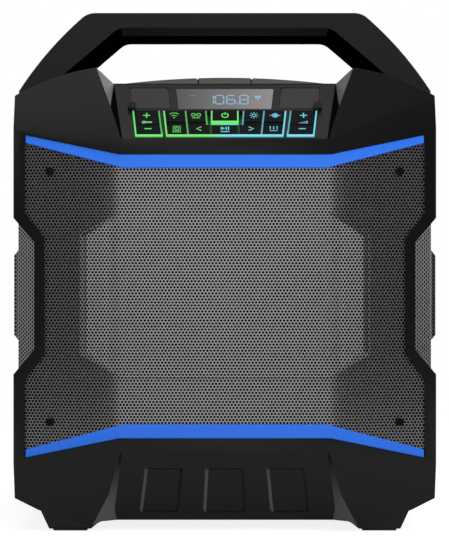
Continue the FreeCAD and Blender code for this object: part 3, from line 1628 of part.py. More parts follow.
def build_baffle():
    body = add_body("baffle_board")
    back = f"({BAFFLE_FRONT} + baffle)"
    sketch = add_sketch(body, "baffle_outline", "XZ_Plane", minus(back), window_outline("fit_gap"))
    pad(body, sketch, "baffle")
    parts = [body]
    tip = f"({GRILLE_AT_SCREW} + sheet * 3)"
    reach = f"{BAFFLE_FRONT} - {tip} + overcut"
    for number, (x, z) in enumerate(grille_screw_places()):
        parts.append(rod(f"boss{number}", (x, tip, z), "screw_shank + boss_wall", reach, INWARD))
    board = fuse("baffle_solid", parts)
    start = f"{BAFFLE_FRONT} - overcut"
    depth = "baffle + overcut * 2"
    woofer = ("0", start, "woofer_height")
    tweeter = ("tweeter_half", start, "tweeter_height")
    tools = [
        rod("woofer_cutout", woofer, "woofer_hole", depth, INWARD),
        rod("tweeter_cutout", tweeter, "tweeter_body + fit_gap", depth, INWARD),
    ]
    for number, (x, z) in enumerate(grille_screw_places()):
        foot = (x, f"{tip} - overcut", z)
        tools.append(rod(f"boss_hole{number}", foot, "screw_shank + fit_gap / 3", reach, INWARD))
    node(cut("baffle_form", board, tools), "baffle")


# Deck and handle


def build_deck():
    """Crowned pad behind the control panel, with a ramp at its front and two grooves."""
    body = add_body("deck_pad")
    start = f"{FRONT} + deck_setback"
    outline = [
        ("-deck_half", "panel_high"),
        ("deck_half", "panel_high"),
        ("deck_half", "deck_edge"),
        ("0", "deck_crest"),
        ("-deck_half", "deck_edge"),
    ]
    bow = dome_bow("deck_half", "(deck_crest - deck_edge)")
    back = f"({start} + deck_length)"
    sketch = add_sketch(body, "deck_outline", "XZ_Plane", minus(back), outline, {2: bow, 3: bow})
    pad(body, sketch, "deck_length")
    ramp = add_body("deck_ramp_tool")
    outline = [
        (start, "panel_high"),
        (f"{start} + deck_ramp * 2", "panel_high + (deck_crest - panel_high) * 2"),
        (f"{start} - wall", "panel_high + (deck_crest - panel_high) * 2"),
        (f"{start} - wall", "panel_high"),
    ]
    pad(ramp, add_sketch(ramp, "deck_ramp_outline", "YZ_Plane", "-case_half", outline), "case_half * 2")
    tools = [ramp]
    for side, sign in RIGHT_LEFT:
        left = f"{sign} * groove_half - groove_width / 2"
        right = f"{sign} * groove_half + groove_width / 2"
        groove = box(
            f"deck_groove_{side}",
            (left, f"{start} - wall", "deck_crest - groove_depth"),
            (right, f"{back} + wall", "deck_crest + wall"),
        )
        tools.append(groove)
    node(cut("deck_form", body, tools), "top_deck")


def edges_where(feature, test):
    """Names of the edges whose middle passes a test."""
    names = []
    for number, edge in enumerate(feature.Shape.Edges, start=1):
        if test(edge.valueAt((edge.FirstParameter + edge.LastParameter) / 2)):
            names.append(f"Edge{number}")
    return names


def dress(body, kind, name, base, edges, amount):
    """Fillet or chamfer of named edges."""
    feature = body.newObject(f"PartDesign::{kind}", name)
    feature.Base = (base, edges)
    feature.setExpression("Radius" if kind == "Fillet" else "Size", bound(amount))
    body.Tip = feature
    doc.recompute()
    return feature


def build_handle():
    body = add_body("handle_arch")
    slope = "((seat_height - seat_side) / (case_half - seat_half))"
    foot = f"(seat_side + {slope} * (case_half - leg_foot_half))"
    outline = [
        ("case_half", "seat_side"),
        ("case_half", "handle_hip"),
        ("handle_top_half", "handle_top"),
        ("-handle_top_half", "handle_top"),
        ("-case_half", "handle_hip"),
        ("-case_half", "seat_side"),
        ("-leg_foot_half", foot),
        ("-grip_half", "grip_bottom"),
        ("grip_half", "grip_bottom"),
        ("leg_foot_half", foot),
    ]
    back = f"({FRONT} + handle_setback + handle_depth)"
    bows = {1: "handle_bow", 3: "handle_bow"}
    sketch = add_sketch(body, "handle_outline", "XZ_Plane", minus(back), outline, bows)
    arch = pad(body, sketch, "handle_depth")
    doc.recompute()

    def at_corner(half, height):
        """Test for the two edges from front to back at a corner of the outline."""
        x, z = size(half), size(height)
        return lambda point: math.hypot(abs(point.x) - x, point.z - z) < NEAR

    corners = edges_where(arch, at_corner("handle_top_half", "handle_top"))
    rounded = dress(body, "Fillet", "handle_corner_round", arch, corners, "handle_corner")
    corners = edges_where(rounded, at_corner("grip_half", "grip_bottom"))
    rounded = dress(body, "Fillet", "grip_corner_round", rounded, corners, "grip_corner")
    ends = (size(f"{FRONT} + handle_setback"), size(back))

    def inner_rim(point):
        """Whether an edge lies on the front or back, along the inside of the arch."""
        on_end = min(abs(point.y - end) for end in ends) < NEAR
        below_top = point.z < size("(handle_top + grip_bottom) / 2")
        inside = abs(point.x) < size("(leg_foot_half + grip_half + grip_corner) / 2")
        return on_end and below_top and inside

    rim = edges_where(rounded, inner_rim)
    dress(body, "Chamfer", "grip_bevel_cut", rounded, rim, "grip_bevel")
    holes, bolts = [], []
    hole_length = "wall * 3 + bolt_bite + overcut"
    for number, (x, y, seat) in enumerate(bolt_places()):
        start = (x, y, f"{seat} - wall * 3")
        holes.append(rod(f"handle_hole{number}", start, "bolt_shank + fit_gap / 3", hole_length, UPWARD))
        under = f"{seat} - bolt_rise"
        start = (x, y, f"{under} - bolt_head_height")
        head = rod(f"bolt_head{number}", start, "bolt_head", "bolt_head_height", UPWARD)
        length = "bolt_rise + bolt_bite - overcut"
        shank = rod(f"bolt_shank{number}", (x, y, under), "bolt_shank", length, UPWARD)
        bolts.append(fuse(f"handle_bolt{number}", [head, shank]))
    node(cut("handle_form", body, holes), "handle")
    node(group("handle_bolt_group", bolts), "handle_bolts")


# Feet


def build_feet():
    brackets, pads = [], []
    slope = "((hip_height - toe_height) / (hip_half - toe_half))"
    rise = "((sole_height - toe_height) / (toe_half - sole_half))"
    for side, sign in RIGHT_LEFT:
        for end in ("front", "back"):
            start = f"{FRONT} + foot_setback"
            if end == "back":
                start = f"{BACK} - foot_setback - foot_length"
            points = [
                ("foot_inner", "pad_height"),
                ("foot_outer", "pad_height"),
                ("bracket_outer", f"toe_height + {slope} * (bracket_outer - toe_half)"),
                ("toe_half", "toe_height"),
                ("bracket_inner", f"toe_height + {rise} * (toe_half - bracket_inner)"),
            ]
            outline = [(f"{sign} * {x}", z) for x, z in points]
            body = add_body(f"foot_{end}_{side}")
            back = f"({start} + foot_length)"
            sketch = add_sketch(body, f"foot_outline_{end}_{side}", "XZ_Plane", minus(back), outline)
            pad(body, sketch, "foot_length")
            brackets.append(body)
            low = "foot_inner + pad_inset" if sign > 0 else "-(foot_outer - pad_inset)"
            high = "foot_outer - pad_inset" if sign > 0 else "-(foot_inner + pad_inset)"
            pads.append(
                box(f"pad_{end}_{side}", (low, f"{start} + pad_inset", "0"),
                    (high, f"{start} + foot_length - pad_inset", "pad_height"))
            )
    node(group("foot_bracket_group", brackets), "foot_brackets")
    node(group("foot_pad_group", pads), "foot_pads")


# Mains inlet at the back, with its cover


def build_inlet():
    low = ("-inlet_half", f"{PANEL_BACK_Y} - inlet_depth", "inlet_height - inlet_half_height")
    high = ("inlet_half", PANEL_BACK_Y, "inlet_height + inlet_half_height")
    shell = box("inlet_block", low, high)
    room = box(
        "inlet_room",
        tuple(f"{side} + inlet_wall" for side in low),
        (f"{high[0]} - inlet_wall", BACK, f"{high[2]} - inlet_wall"),
    )
    pins = []
    for side, sign in RIGHT_LEFT:
        foot = (f"{sign} * pin_pitch / 2", f"{PANEL_BACK_Y} - inlet_depth", "inlet_height")
        pins.append(rod(f"inlet_pin_{side}", foot, "pin_radius", "inlet_depth - wall", INWARD))
    node(fuse("inlet_form", [cut("inlet_shell", shell, [room])] + pins), "power_inlet")
    start = f"{PANEL_BACK_Y} + fit_gap"
    cover = box(
        "cover_plate",
        ("-cover_half", start, "inlet_height - cover_half_height"),
        ("cover_half", f"{start} + cover_sheet", "inlet_height + cover_half_height"),
    )
    line = (f"{start} + cover_sheet / 2", "inlet_height + cover_half_height")
    bead = rod("cover_bead", ("-cover_half", *line), "cover_sheet / 2", "cover_half * 2", V(1, 0, 0))
    reach = "(cover_half + hinge_lug)"
    pin = rod("cover_pin", (f"-{reach}", *line), "hinge_pin", f"{reach} * 2", V(1, 0, 0))
    node(fuse("cover_form", [cover, bead, pin]), "inlet_cover")


# Power and electronics inside


def build_inside():
    floor = "(sole_height + wall)"
    back = f"({REAR_RIM} - battery_setback / 2)"
    battery = box(
        "battery_box",
        ("-battery_length / 2", f"{back} - battery_width", floor),
        ("battery_length / 2", back, f"{floor} + battery_height"),
    )
    node(battery, "battery_pack")
    low = f"{back} - battery_width / 2 - bracket_width / 2"
    high = f"{back} - battery_width / 2 + bracket_width / 2"
    room_half = "(battery_length / 2 + fit_gap)"
    room_high = f"({floor} + battery_height + fit_gap)"
    reach = f"({room_half} + bracket_sheet)"
    strap = box("strap_block", (f"-{reach}", low, floor), (reach, high, f"{room_high} + bracket_sheet"))
    room = box(
        "strap_room",
        (f"-{room_half}", f"{low} - overcut", f"{floor} - overcut"),
        (room_half, f"{high} + overcut", room_high),
    )
    feet = []
    for side, sign in RIGHT_LEFT:
        near, far = reach, f"({reach} + bracket_foot)"
        if sign < 0:
            near, far = minus(far), minus(near)
        feet.append(box(f"strap_foot_{side}", (near, low, floor), (far, high, f"{floor} + bracket_sheet")))
    node(fuse("strap_form", [cut("strap_arch", strap, [room])] + feet), "battery_strap")
    face = f"({PANEL_BACK_Y} - rear_panel)"
    board = box(
        "mainboard_plate",
        ("-mainboard_half", f"{face} - standoff - board", "mainboard_low"),
        ("mainboard_half", f"{face} - standoff", "mainboard_high"),
    )
    posts = []
    for _, sign in RIGHT_LEFT:
        for z in ("mainboard_low + wall", "mainboard_high - wall"):
            foot = (f"{sign} * (mainboard_half - wall)", f"{face} - standoff", z)
            posts.append(rod(f"standoff{len(posts)}", foot, "standoff_radius", "standoff", INWARD))
    node(fuse("mainboard_form", [board] + posts), "main_board")
    middle = "((mainboard_low + mainboard_high) / 2)"
    seat = f"({face} - standoff - board)"
    parts = [
        box(
            "sink_plate",
            ("-sink_half", f"{seat} - sink_base", f"{middle} - sink_height / 2"),
            ("sink_half", seat, f"{middle} + sink_height / 2"),
        )
    ]
    for number in range(FIN_COUNT):
        left = f"(-sink_half + (sink_half * 2 - fin) * {number} / {FIN_COUNT - 1})"
        parts.append(
            box(
                f"fin{number}",
                (left, f"{seat} - sink_base - fin_height", f"{middle} - sink_height / 2"),
                (f"{left} + fin", f"{seat} - sink_base / 2", f"{middle} + sink_height / 2"),
            )
        )
    node(fuse("sink_form", parts), "heat_sink")


def check_all():
    """Stops where a feature failed, or where a sub-part is empty or broken."""
    doc.recompute()
    for item in doc.Objects:
        if "Invalid" in item.State or "Error" in item.State:
            raise RuntimeError(f"{item.Name} failed: {item.State}")
    for item in NODES:
        shape = item.Shape
        if shape.isNull() or not shape.isValid() or not shape.Solids:
            raise RuntimeError(f"{item.Label} has no valid solid")


notches = [notch_tool(side, sign) for side, sign in RIGHT_LEFT]
build_front_shell(notches)
build_case_body(notches)
build_rear_panel()
build_strips()
build_front_grille()
build_side_grilles()
build_control_panel()
build_display()
build_light_guides()
build_keys()
build_flap("mic_flap", "left", -1)
build_flap("port_flap", "right", 1)
build_sockets()
build_baffle()
build_woofer()
build_tweeter()
build_radiators()
build_deck()
build_handle()
build_feet()
build_inlet()
build_inside()
check_all()

os.makedirs("parts", exist_ok=True)
for item in NODES:
    item.Shape.exportStep(f"parts/{item.Label}.step")
    solids = len(item.Shape.Solids)
    print(f"{item.Label}: {solids} solid(s), {item.Shape.Volume / 1000:.2f} cm3")
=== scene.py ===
import json
import math

import bmesh
import bpy
import numpy as np
from mathutils import Matrix, Vector

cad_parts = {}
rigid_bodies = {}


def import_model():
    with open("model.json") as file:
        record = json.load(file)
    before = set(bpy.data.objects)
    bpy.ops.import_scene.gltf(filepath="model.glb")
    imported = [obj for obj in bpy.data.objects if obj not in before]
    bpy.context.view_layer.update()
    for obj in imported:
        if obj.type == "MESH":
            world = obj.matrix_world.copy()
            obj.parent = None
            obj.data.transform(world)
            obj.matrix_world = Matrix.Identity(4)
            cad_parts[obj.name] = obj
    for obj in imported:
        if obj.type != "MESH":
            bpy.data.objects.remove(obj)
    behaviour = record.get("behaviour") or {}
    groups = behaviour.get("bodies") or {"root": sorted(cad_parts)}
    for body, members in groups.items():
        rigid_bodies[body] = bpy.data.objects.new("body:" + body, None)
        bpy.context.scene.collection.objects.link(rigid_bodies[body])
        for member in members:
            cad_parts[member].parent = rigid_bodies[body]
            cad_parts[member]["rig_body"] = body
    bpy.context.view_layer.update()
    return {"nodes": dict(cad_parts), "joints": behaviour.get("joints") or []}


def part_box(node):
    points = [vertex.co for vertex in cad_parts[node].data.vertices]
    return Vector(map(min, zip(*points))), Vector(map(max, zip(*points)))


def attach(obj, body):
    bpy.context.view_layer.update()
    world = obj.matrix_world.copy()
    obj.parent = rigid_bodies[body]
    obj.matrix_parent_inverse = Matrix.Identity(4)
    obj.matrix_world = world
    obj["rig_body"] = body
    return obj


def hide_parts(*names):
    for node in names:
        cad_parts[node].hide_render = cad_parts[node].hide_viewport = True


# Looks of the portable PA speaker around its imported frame. Metres, Z up, front towards -Y; the
# grilles' outlines, the edges' radii and places on the panel are in millimetres.

MM = 0.001
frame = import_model()
scene = bpy.context.scene
NODES = frame["nodes"]
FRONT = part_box("front_shell")[0].y


def add_object(name, data):
    made = bpy.data.objects.new(name, data)
    scene.collection.objects.link(made)
    return made


def set_look(data, look):
    data.materials.clear()
    data.materials.append(look)


# Building blocks of the materials, which are all procedural


def wire(tree, node, inputs):
    """Set a node's inputs, by name or number: a socket is linked, any other value is a constant."""
    for key, value in inputs.items():
        if isinstance(value, bpy.types.NodeSocket):
            tree.links.new(value, node.inputs[key])
        else:
            node.inputs[key].default_value = value
    return node


def add_node(tree, kind, inputs=None):
    return wire(tree, tree.nodes.new(f"ShaderNode{kind}"), inputs or {})


def computed(tree, operation, first, second):
    node = add_node(tree, "Math", {0: first, 1: second})
    node.operation = operation
    return node.outputs["Value"]


def between(tree, value, low, high):
    """One where a value lies between two limits, zero elsewhere."""
    above = computed(tree, "GREATER_THAN", value, low)
    return computed(tree, "MULTIPLY", above, computed(tree, "LESS_THAN", value, high))


def spread(tree, value, start, end):
    """Goes from zero at the start to one at the end, and stays level beyond them."""
    return add_node(tree, "MapRange", {"Value": value, "From Min": start, "From Max": end}).outputs["Result"]


def blended(tree, factor, first, second):
    """Colour that a factor takes from the first to the second."""
    node = tree.nodes.new("ShaderNodeMix")
    node.data_type = "RGBA"
    wire(tree, node, {"Factor": factor, "A": (*first, 1.0), "B": (*second, 1.0)})
    return node.outputs["Result"]


def object_axes(tree):
    """X, Y and Z of the shaded point in its piece's own frame."""
    place = add_node(tree, "TexCoord").outputs["Object"]
    return add_node(tree, "SeparateXYZ", {"Vector": place}).outputs


def direct_rays(tree):
    """Whether a ray comes from the camera or through glass, and whether it is a reflection."""
    path = add_node(tree, "LightPath").outputs
    seen = computed(tree, "MAXIMUM", path["Is Camera Ray"], path["Is Transmission Ray"])
    return seen, path["Is Glossy Ray"]


# Kinds of material

GRAIN_DETAIL = 3.0
GRAIN_ROUGHNESS = 0.05
LENS_COLOR = (0.02, 0.02, 0.02)
LENS_ROUGHNESS = 0.4

# Scale, depth and strength of each kind of grain
MOULDED = (1800.0, 0.04 * MM, 0.4)
POLISHED = (900.0, 0.01 * MM, 0.2)
PAINTED = (1500.0, 0.01 * MM, 0.3)
TURNED = (2500.0, 0.01 * MM, 0.1)
PUNCHED = (2500.0, 0.01 * MM, 0.05)
ROLLED = (2500.0, 0.005 * MM, 0.03)


def new_material(name):
    material = bpy.data.materials.new(name)
    material.use_nodes = True
    tree = material.node_tree
    return material, tree, tree.nodes["Principled BSDF"]


def add_grain(tree, shader, scale, depth, strength):
    """Fine grain: a noise bump, and a slight change of roughness with it."""
    place = add_node(tree, "TexCoord").outputs["Object"]
    texture = add_node(tree, "TexNoise", {"Vector": place, "Scale": scale, "Detail": GRAIN_DETAIL})
    noise = texture.outputs["Fac"]
    bump = add_node(tree, "Bump", {"Height": noise, "Distance": depth, "Strength": strength})
    rough = shader.inputs["Roughness"].default_value
    low, high = rough - GRAIN_ROUGHNESS, rough + GRAIN_ROUGHNESS
    varied = add_node(tree, "MapRange", {"Value": noise, "To Min": low, "To Max": high})
    wire(tree, shader, {"Normal": bump.outputs["Normal"], "Roughness": varied.outputs["Result"]})


def surface(name, color, roughness, metallic=0.0, grain=MOULDED, specular=0.5):
    material, tree, shader = new_material(name)
    wire(tree, shader, {
        "Base Color": (*color, 1.0), "Roughness": roughness, "Metallic": metallic,
        "Specular IOR Level": specular,
    })
    add_grain(tree, shader, *grain)
    return material


def fading_painted_highlight(name, dark, lit, high, low, roughness, specular):
    """Plastic with a painted highlight that turns lighter downwards, from one height to another."""
    material = surface(name, dark, roughness, specular=specular)
    tree = material.node_tree
    color = blended(tree, spread(tree, object_axes(tree)["Z"], high, low), dark, lit)
    wire(tree, tree.nodes["Principled BSDF"], {"Base Color": color})
    return material


def add_seams(material, near, far, seam_color):
    """Dark lines on both sides of the middle plane, where moulded parts meet."""
    tree = material.node_tree
    shader = tree.nodes["Principled BSDF"]
    aside = computed(tree, "ABSOLUTE", object_axes(tree)["X"], 0.0)
    plain = tuple(shader.inputs["Base Color"].default_value)[:3]
    wire(tree, shader, {"Base Color": blended(tree, between(tree, aside, near, far), plain, seam_color)})


def shine_through(tree, shader, color, strength):
    """Coloured light that comes through a dark lens."""
    wire(tree, shader, {
        "Emission Color": color, "Emission Strength": strength,
        "Base Color": (*LENS_COLOR, 1.0), "Roughness": LENS_ROUGHNESS,
    })


def gradient_light(name, left, right, start, end, strength):
    """Light that changes colour along X between two places."""
    material, tree, shader = new_material(name)
    color = blended(tree, spread(tree, object_axes(tree)["X"], start, end), left, right)
    shine_through(tree, shader, color, strength)
    return material


# Light guides round the keys: where they turn from green to cyan, where they fade in from their lower
# edge, the top of their lower bar, the guide round the power key, the weaker bars between two keys,
# and the dark stretch beside the play key

GUIDE_TURN = (-11.0 * MM, 0.0 * MM)
GUIDE_BRINK = (343.0 * MM, 344.3 * MM)
GUIDE_FOOT_TOP = 346.0 * MM
POWER_GUIDE_HALF = 13.0 * MM
POWER_GUIDE_LOW = 355.5 * MM
WEAK_GUIDES = ((13.5 * MM, 36.0 * MM), (54.2 * MM, 61.0 * MM))
GUIDE_LOSS = 0.5
PLAY_GUIDE_TOP = 353.6 * MM


def guide_light(name, green, cyan):
    """Green to cyan along X, and all green round the power key."""
    material, tree, shader = new_material(name)
    axes = object_axes(tree)
    aside = computed(tree, "ABSOLUTE", axes["X"], 0.0)
    central = computed(tree, "LESS_THAN", aside, POWER_GUIDE_HALF)
    above = computed(tree, "GREATER_THAN", axes["Z"], POWER_GUIDE_LOW)
    to_cyan = computed(
        tree, "SUBTRACT", spread(tree, axes["X"], *GUIDE_TURN), computed(tree, "MULTIPLY", central, above)
    )
    color = blended(tree, computed(tree, "MAXIMUM", to_cyan, 0.0), green, cyan)
    weak = computed(tree, "ADD", *(between(tree, aside, near, far) for near, far in WEAK_GUIDES))
    over_foot = computed(tree, "GREATER_THAN", axes["Z"], GUIDE_FOOT_TOP)
    loss = computed(tree, "MULTIPLY", computed(tree, "MULTIPLY", weak, over_foot), GUIDE_LOSS)
    low_middle = between(tree, axes["Z"], GUIDE_FOOT_TOP, PLAY_GUIDE_TOP)
    beside_play = computed(tree, "MULTIPLY", central, low_middle)
    power = spread(tree, axes["Z"], *GUIDE_BRINK)
    for share in (loss, beside_play):
        power = computed(tree, "MULTIPLY", power, computed(tree, "SUBTRACT", 1.0, share))
    faded = tree.nodes.new("ShaderNodeVectorMath")
    faded.operation = "SCALE"
    wire(tree, faded, {"Vector": color, "Scale": power})
    shine_through(tree, shader, faded.outputs["Vector"], 1.0)
    return material


# Materials

CASE_COLOR = (0.003, 0.003, 0.0032)
GREEN = (0.13, 0.84, 0.14)
CYAN = (0.16, 0.72, 0.90)
DIGIT_COLORS = ((0.24, 0.46, 0.68), (0.30, 0.52, 0.72))
PANE_COLORS = ((0.07, 0.07, 0.072), (0.20, 0.20, 0.205))
RED = (0.75, 0.16, 0.10)
CHEEK_HIGHLIGHT_FADE = (65.0 * MM, 22.0 * MM)
DECK_SEAM = (22.9 * MM, 24.1 * MM)
SEAM_COLOR = (0.002, 0.002, 0.002)
DISPLAY_HALF = 40.0 * MM

CASE = surface("case_black", CASE_COLOR, 0.33)
PANEL = surface("panel_black", (0.008, 0.008, 0.0084), 0.38)
KEY = surface("key_black", (0.003, 0.003, 0.004), 0.3, grain=POLISHED, specular=0.15)
# Painted highlight: the deck's grey stands in for a reflection on the same black plastic as the case; its
# dark seams are joints.
PAINTED_HIGHLIGHT_DECK = surface("deck_black_painted_highlight", (0.095, 0.095, 0.096), 0.45)
add_seams(PAINTED_HIGHLIGHT_DECK, *DECK_SEAM, SEAM_COLOR)
HANDLE = surface("handle_black", (0.006, 0.006, 0.0063), 0.4)
# Painted shade: near-black and without reflection, for the handle's underside and the inner sides of its
# arch.
HANDLE_SHADE = surface("handle_underside_painted_shade", (0.0005, 0.0005, 0.0005), 0.9, specular=0.0)
# Painted highlight: light grey on the horns' inner facets, in place of a reflection on the black case.
PAINTED_HIGHLIGHT_FACET = surface("case_facet_painted_highlight", (0.15, 0.15, 0.151), 0.5, specular=0.3)
# Painted highlight: light grey on the walls of the lower front's recesses that face to the right, as if lit
# from the right.
PAINTED_HIGHLIGHT_WALL = surface("painted_highlight_recess_wall", (0.09, 0.09, 0.091), 0.5, specular=0.3)
# Painted highlight: the cheeks' facets turn from the case's black to light grey towards the foot, as if lit
# from the lower right.
PAINTED_HIGHLIGHT_CHEEK = fading_painted_highlight("painted_highlight_cheek_facet", CASE_COLOR, (0.11, 0.11, 0.111), *CHEEK_HIGHLIGHT_FADE, 0.5, 0.3)
# Painted shade: near-black for the notch below each horn's inner facet, darker than the case.
PAINTED_SHADE_NOTCH = surface("case_notch_painted_shade", (0.001, 0.001, 0.001), 0.6, specular=0.12)
TAB = surface("flap_tab", (0.008, 0.008, 0.008), 0.5, specular=0.3)
RUBBER = surface("rubber_black", (0.034, 0.034, 0.035), 0.6, specular=0.3)
METAL = surface("grille_metal", (0.44, 0.44, 0.44), 0.25, metallic=0.88, grain=ROLLED)
SIDE_METAL = surface("side_grille_metal", (0.20, 0.20, 0.20), 0.30, metallic=0.9, grain=ROLLED)
ACCENT = surface("accent_blue", (0.024, 0.165, 0.80), 0.4, grain=PAINTED, specular=0.3)
HOLE_WALL = surface("hole_wall", (0.004, 0.004, 0.004), 0.7, grain=PUNCHED, specular=0.1)
SCREW = surface("screw_black", (0.003, 0.003, 0.003), 0.5, grain=TURNED, specular=0.12)
STEEL = surface("screw_steel", (0.02, 0.02, 0.02), 0.35, metallic=0.4)
BARE_STEEL = surface("bare_steel", (0.42, 0.42, 0.43), 0.35, metallic=1.0)
CONE = surface("cone_black", (0.02, 0.02, 0.02), 0.6)
CIRCUIT = surface("circuit_green", (0.01, 0.08, 0.035), 0.4)
INNER = surface("inner_black", (0.008, 0.008, 0.008), 0.6)
GUIDE = guide_light("guide_light", GREEN, CYAN)
ICON = gradient_light("icon_light", GREEN, CYAN, *GUIDE_TURN, 0.8)
POWER_ICON = gradient_light("power_icon_light", GREEN, GREEN, *GUIDE_TURN, 0.85)
DIGIT = gradient_light("digit_light", *DIGIT_COLORS, -DISPLAY_HALF, DISPLAY_HALF, 0.9)
WARNING = gradient_light("warning_light", RED, RED, 0.0, DISPLAY_HALF, 0.8)


def display_look():
    """Smoked pane, brighter towards the right."""
    material, tree, shader = new_material("display_pane")
    along = spread(tree, object_axes(tree)["X"], -DISPLAY_HALF, DISPLAY_HALF)
    wire(tree, shader, {
        "Base Color": blended(tree, along, *PANE_COLORS), "Roughness": 0.25, "Specular IOR Level": 0.3,
    })
    return material


LOOKS = {
    "front_shell": CASE, "case_body": CASE, "rear_panel": CASE, "case_screws": STEEL,
    "accent_strip_upper": ACCENT, "accent_strip_lower": ACCENT, "grille_screws": SCREW,
    "control_panel": PANEL, "key_light_guides": GUIDE, "display_module": INNER,
    "mic_flap": RUBBER, "port_flap": RUBBER, "mic_jacks": BARE_STEEL, "aux_socket": BARE_STEEL,
    "usb_port": BARE_STEEL, "key_board": CIRCUIT, "port_board": CIRCUIT, "woofer_basket": STEEL,
    "woofer_magnet": STEEL, "woofer_cone": CONE, "woofer_surround": RUBBER, "tweeter_body": INNER,
    "tweeter_dome": CONE, "baffle": INNER, "top_deck": PAINTED_HIGHLIGHT_DECK, "handle": HANDLE, "handle_bolts": STEEL,
    "foot_brackets": CASE, "foot_pads": RUBBER, "power_inlet": INNER, "inlet_cover": RUBBER,
    "battery_pack": INNER, "battery_strap": BARE_STEEL, "main_board": CIRCUIT, "heat_sink": BARE_STEEL,
    "display_window": display_look(),
}
for side in ("left", "right"):
    LOOKS[f"radiator_frame_{side}"] = INNER
    LOOKS[f"radiator_surround_{side}"] = RUBBER
    LOOKS[f"radiator_cone_{side}"] = CONE

# Radii of the rounded edges; what isn't named here keeps its CAD edges
RADII = {
    "front_shell": 1.0, "case_body": 1.6, "rear_panel": 0.5, "accent_strip_upper": 0.8,
    "accent_strip_lower": 0.8, "control_panel": 0.3, "mic_flap": 0.35, "port_flap": 0.35, "top_deck": 0.8,
    "handle": 2.2, "foot_brackets": 1.2, "foot_pads": 0.6, "inlet_cover": 0.4, "battery_pack": 2.0,
    "key_light_guides": 0.12, "grille_screws": 0.25,
}
KEY_RADIUS = 0.1
for name in NODES:
    if name.startswith("key_") and name not in LOOKS:
        LOOKS[name] = KEY
        RADII[name] = KEY_RADIUS


# Rounded edges

SAME_POINT = 0.002 * MM
LEVEL_ANGLE = math.radians(0.6)
EDGE_ANGLE = math.radians(22.0)
EDGE_SEGMENTS = 3
LARGE_FACE_WEIGHT = 80


def dressed(name, radius):
    """Copy of a CAD node with its edges rounded, which stands for that node."""
    source = NODES[name]
    mesh = source.data.copy()
    mesh.name = f"{name}_rounded"
    work = bmesh.new()
    work.from_mesh(mesh)
    bmesh.ops.remove_doubles(work, verts=work.verts, dist=SAME_POINT)
    bmesh.ops.dissolve_limit(
        work, angle_limit=LEVEL_ANGLE, verts=work.verts, edges=work.edges, use_dissolve_boundaries=False
    )
    work.to_mesh(mesh)
    work.free()
    made = add_object(f"{name}_rounded", mesh)
    bevel = made.modifiers.new("edge_radius", "BEVEL")
    bevel.width = radius
    bevel.segments = EDGE_SEGMENTS
    bevel.limit_method = "ANGLE"
    bevel.angle_limit = EDGE_ANGLE
    bevel.use_clamp_overlap = True
    even = made.modifiers.new("even_shading", "WEIGHTED_NORMAL")
    even.mode = "FACE_AREA"
    even.weight = LARGE_FACE_WEIGHT
    even.keep_sharp = True
    mesh.shade_smooth()
    set_look(mesh, LOOKS[name])
    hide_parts(name)
    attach(made, source["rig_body"])


for name, look in LOOKS.items():
    if name in RADII:
        dressed(name, RADII[name] * MM)
    else:
        set_look(NODES[name].data, look)


# Faces of the rounded pieces that get another material: painted shade under the handle and in the horns'
# notches, painted highlights on the horns' inner facets, the cheeks' facets and the recesses' walls, and a
# darker tab on each flap


def repaint_faces(name, paint, chosen):
    """Give the faces of a rounded piece that a test picks another material, most often one that paints light
    and shade.
    The test gets a face's middle, its normal, and how far the normal turns towards the middle plane."""
    mesh = bpy.data.objects[f"{name}_rounded"].data
    mesh.materials.append(paint)
    slot = len(mesh.materials) - 1
    for face in mesh.polygons:
        inward = face.normal.x if face.center.x < 0 else -face.normal.x
        if chosen(face.center, face.normal, inward):
            face.material_index = slot


def within(middle, limits):
    """Whether a face lies between two distances from the middle plane and two heights."""
    (near, far), (low, high) = limits
    return near < abs(middle.x) < far and low < middle.z < high


ARCH_FOOT = 390.0 * MM
FACES_DOWN = -0.15
FACES_IN = 0.15
FACES_FRONT = -0.5
STEEP = 0.3
UPRIGHT = 0.5
PAINTED_HIGHLIGHT_HORN_FACET = ((92.0 * MM, 112.0 * MM), (379.0 * MM, 403.0 * MM))
PAINTED_SHADE_HORN_NOTCH = ((84.0 * MM, 104.0 * MM), (345.0 * MM, 379.0 * MM))
PAINTED_HIGHLIGHT_CHEEK_FACET = ((85.0 * MM, 112.0 * MM), (5.0 * MM, 60.0 * MM))
PAINTED_HIGHLIGHT_RECESS_WALL = ((0.0, 80.0 * MM), (10.0 * MM, 70.0 * MM))
FLAP_TAB = ((75.5 * MM, 95.0 * MM), (360.0 * MM, 378.0 * MM))


# Faces under and inside the handle's arch, which get the painted shade
def painted_shade_under_handle(middle, normal, inward):
    faces_down = normal.z < FACES_DOWN and normal.y > FACES_FRONT
    return middle.z > ARCH_FOOT and (inward > FACES_IN or faces_down)


# Horns' inner facets, which get the painted highlight
def painted_highlight_horn_facet(middle, normal, inward):
    return inward > STEEP and normal.y < 0 and within(middle, PAINTED_HIGHLIGHT_HORN_FACET)


# Notches below the horns' inner facets, which get the painted shade
def painted_shade_horn_notch(middle, normal, inward):
    return inward > STEEP and within(middle, PAINTED_SHADE_HORN_NOTCH)


# Facets of the cheeks, which get the painted highlight
def painted_highlight_cheek_facet(middle, normal, inward):
    return inward > STEEP and normal.y < FACES_FRONT and within(middle, PAINTED_HIGHLIGHT_CHEEK_FACET)


# Walls of the lower front's recesses that face to the right, which get the painted highlight
def painted_highlight_recess_wall(middle, normal, inward):
    return normal.x > UPRIGHT and within(middle, PAINTED_HIGHLIGHT_RECESS_WALL)


def flap_tab(middle, normal, inward):
    return within(middle, FLAP_TAB)


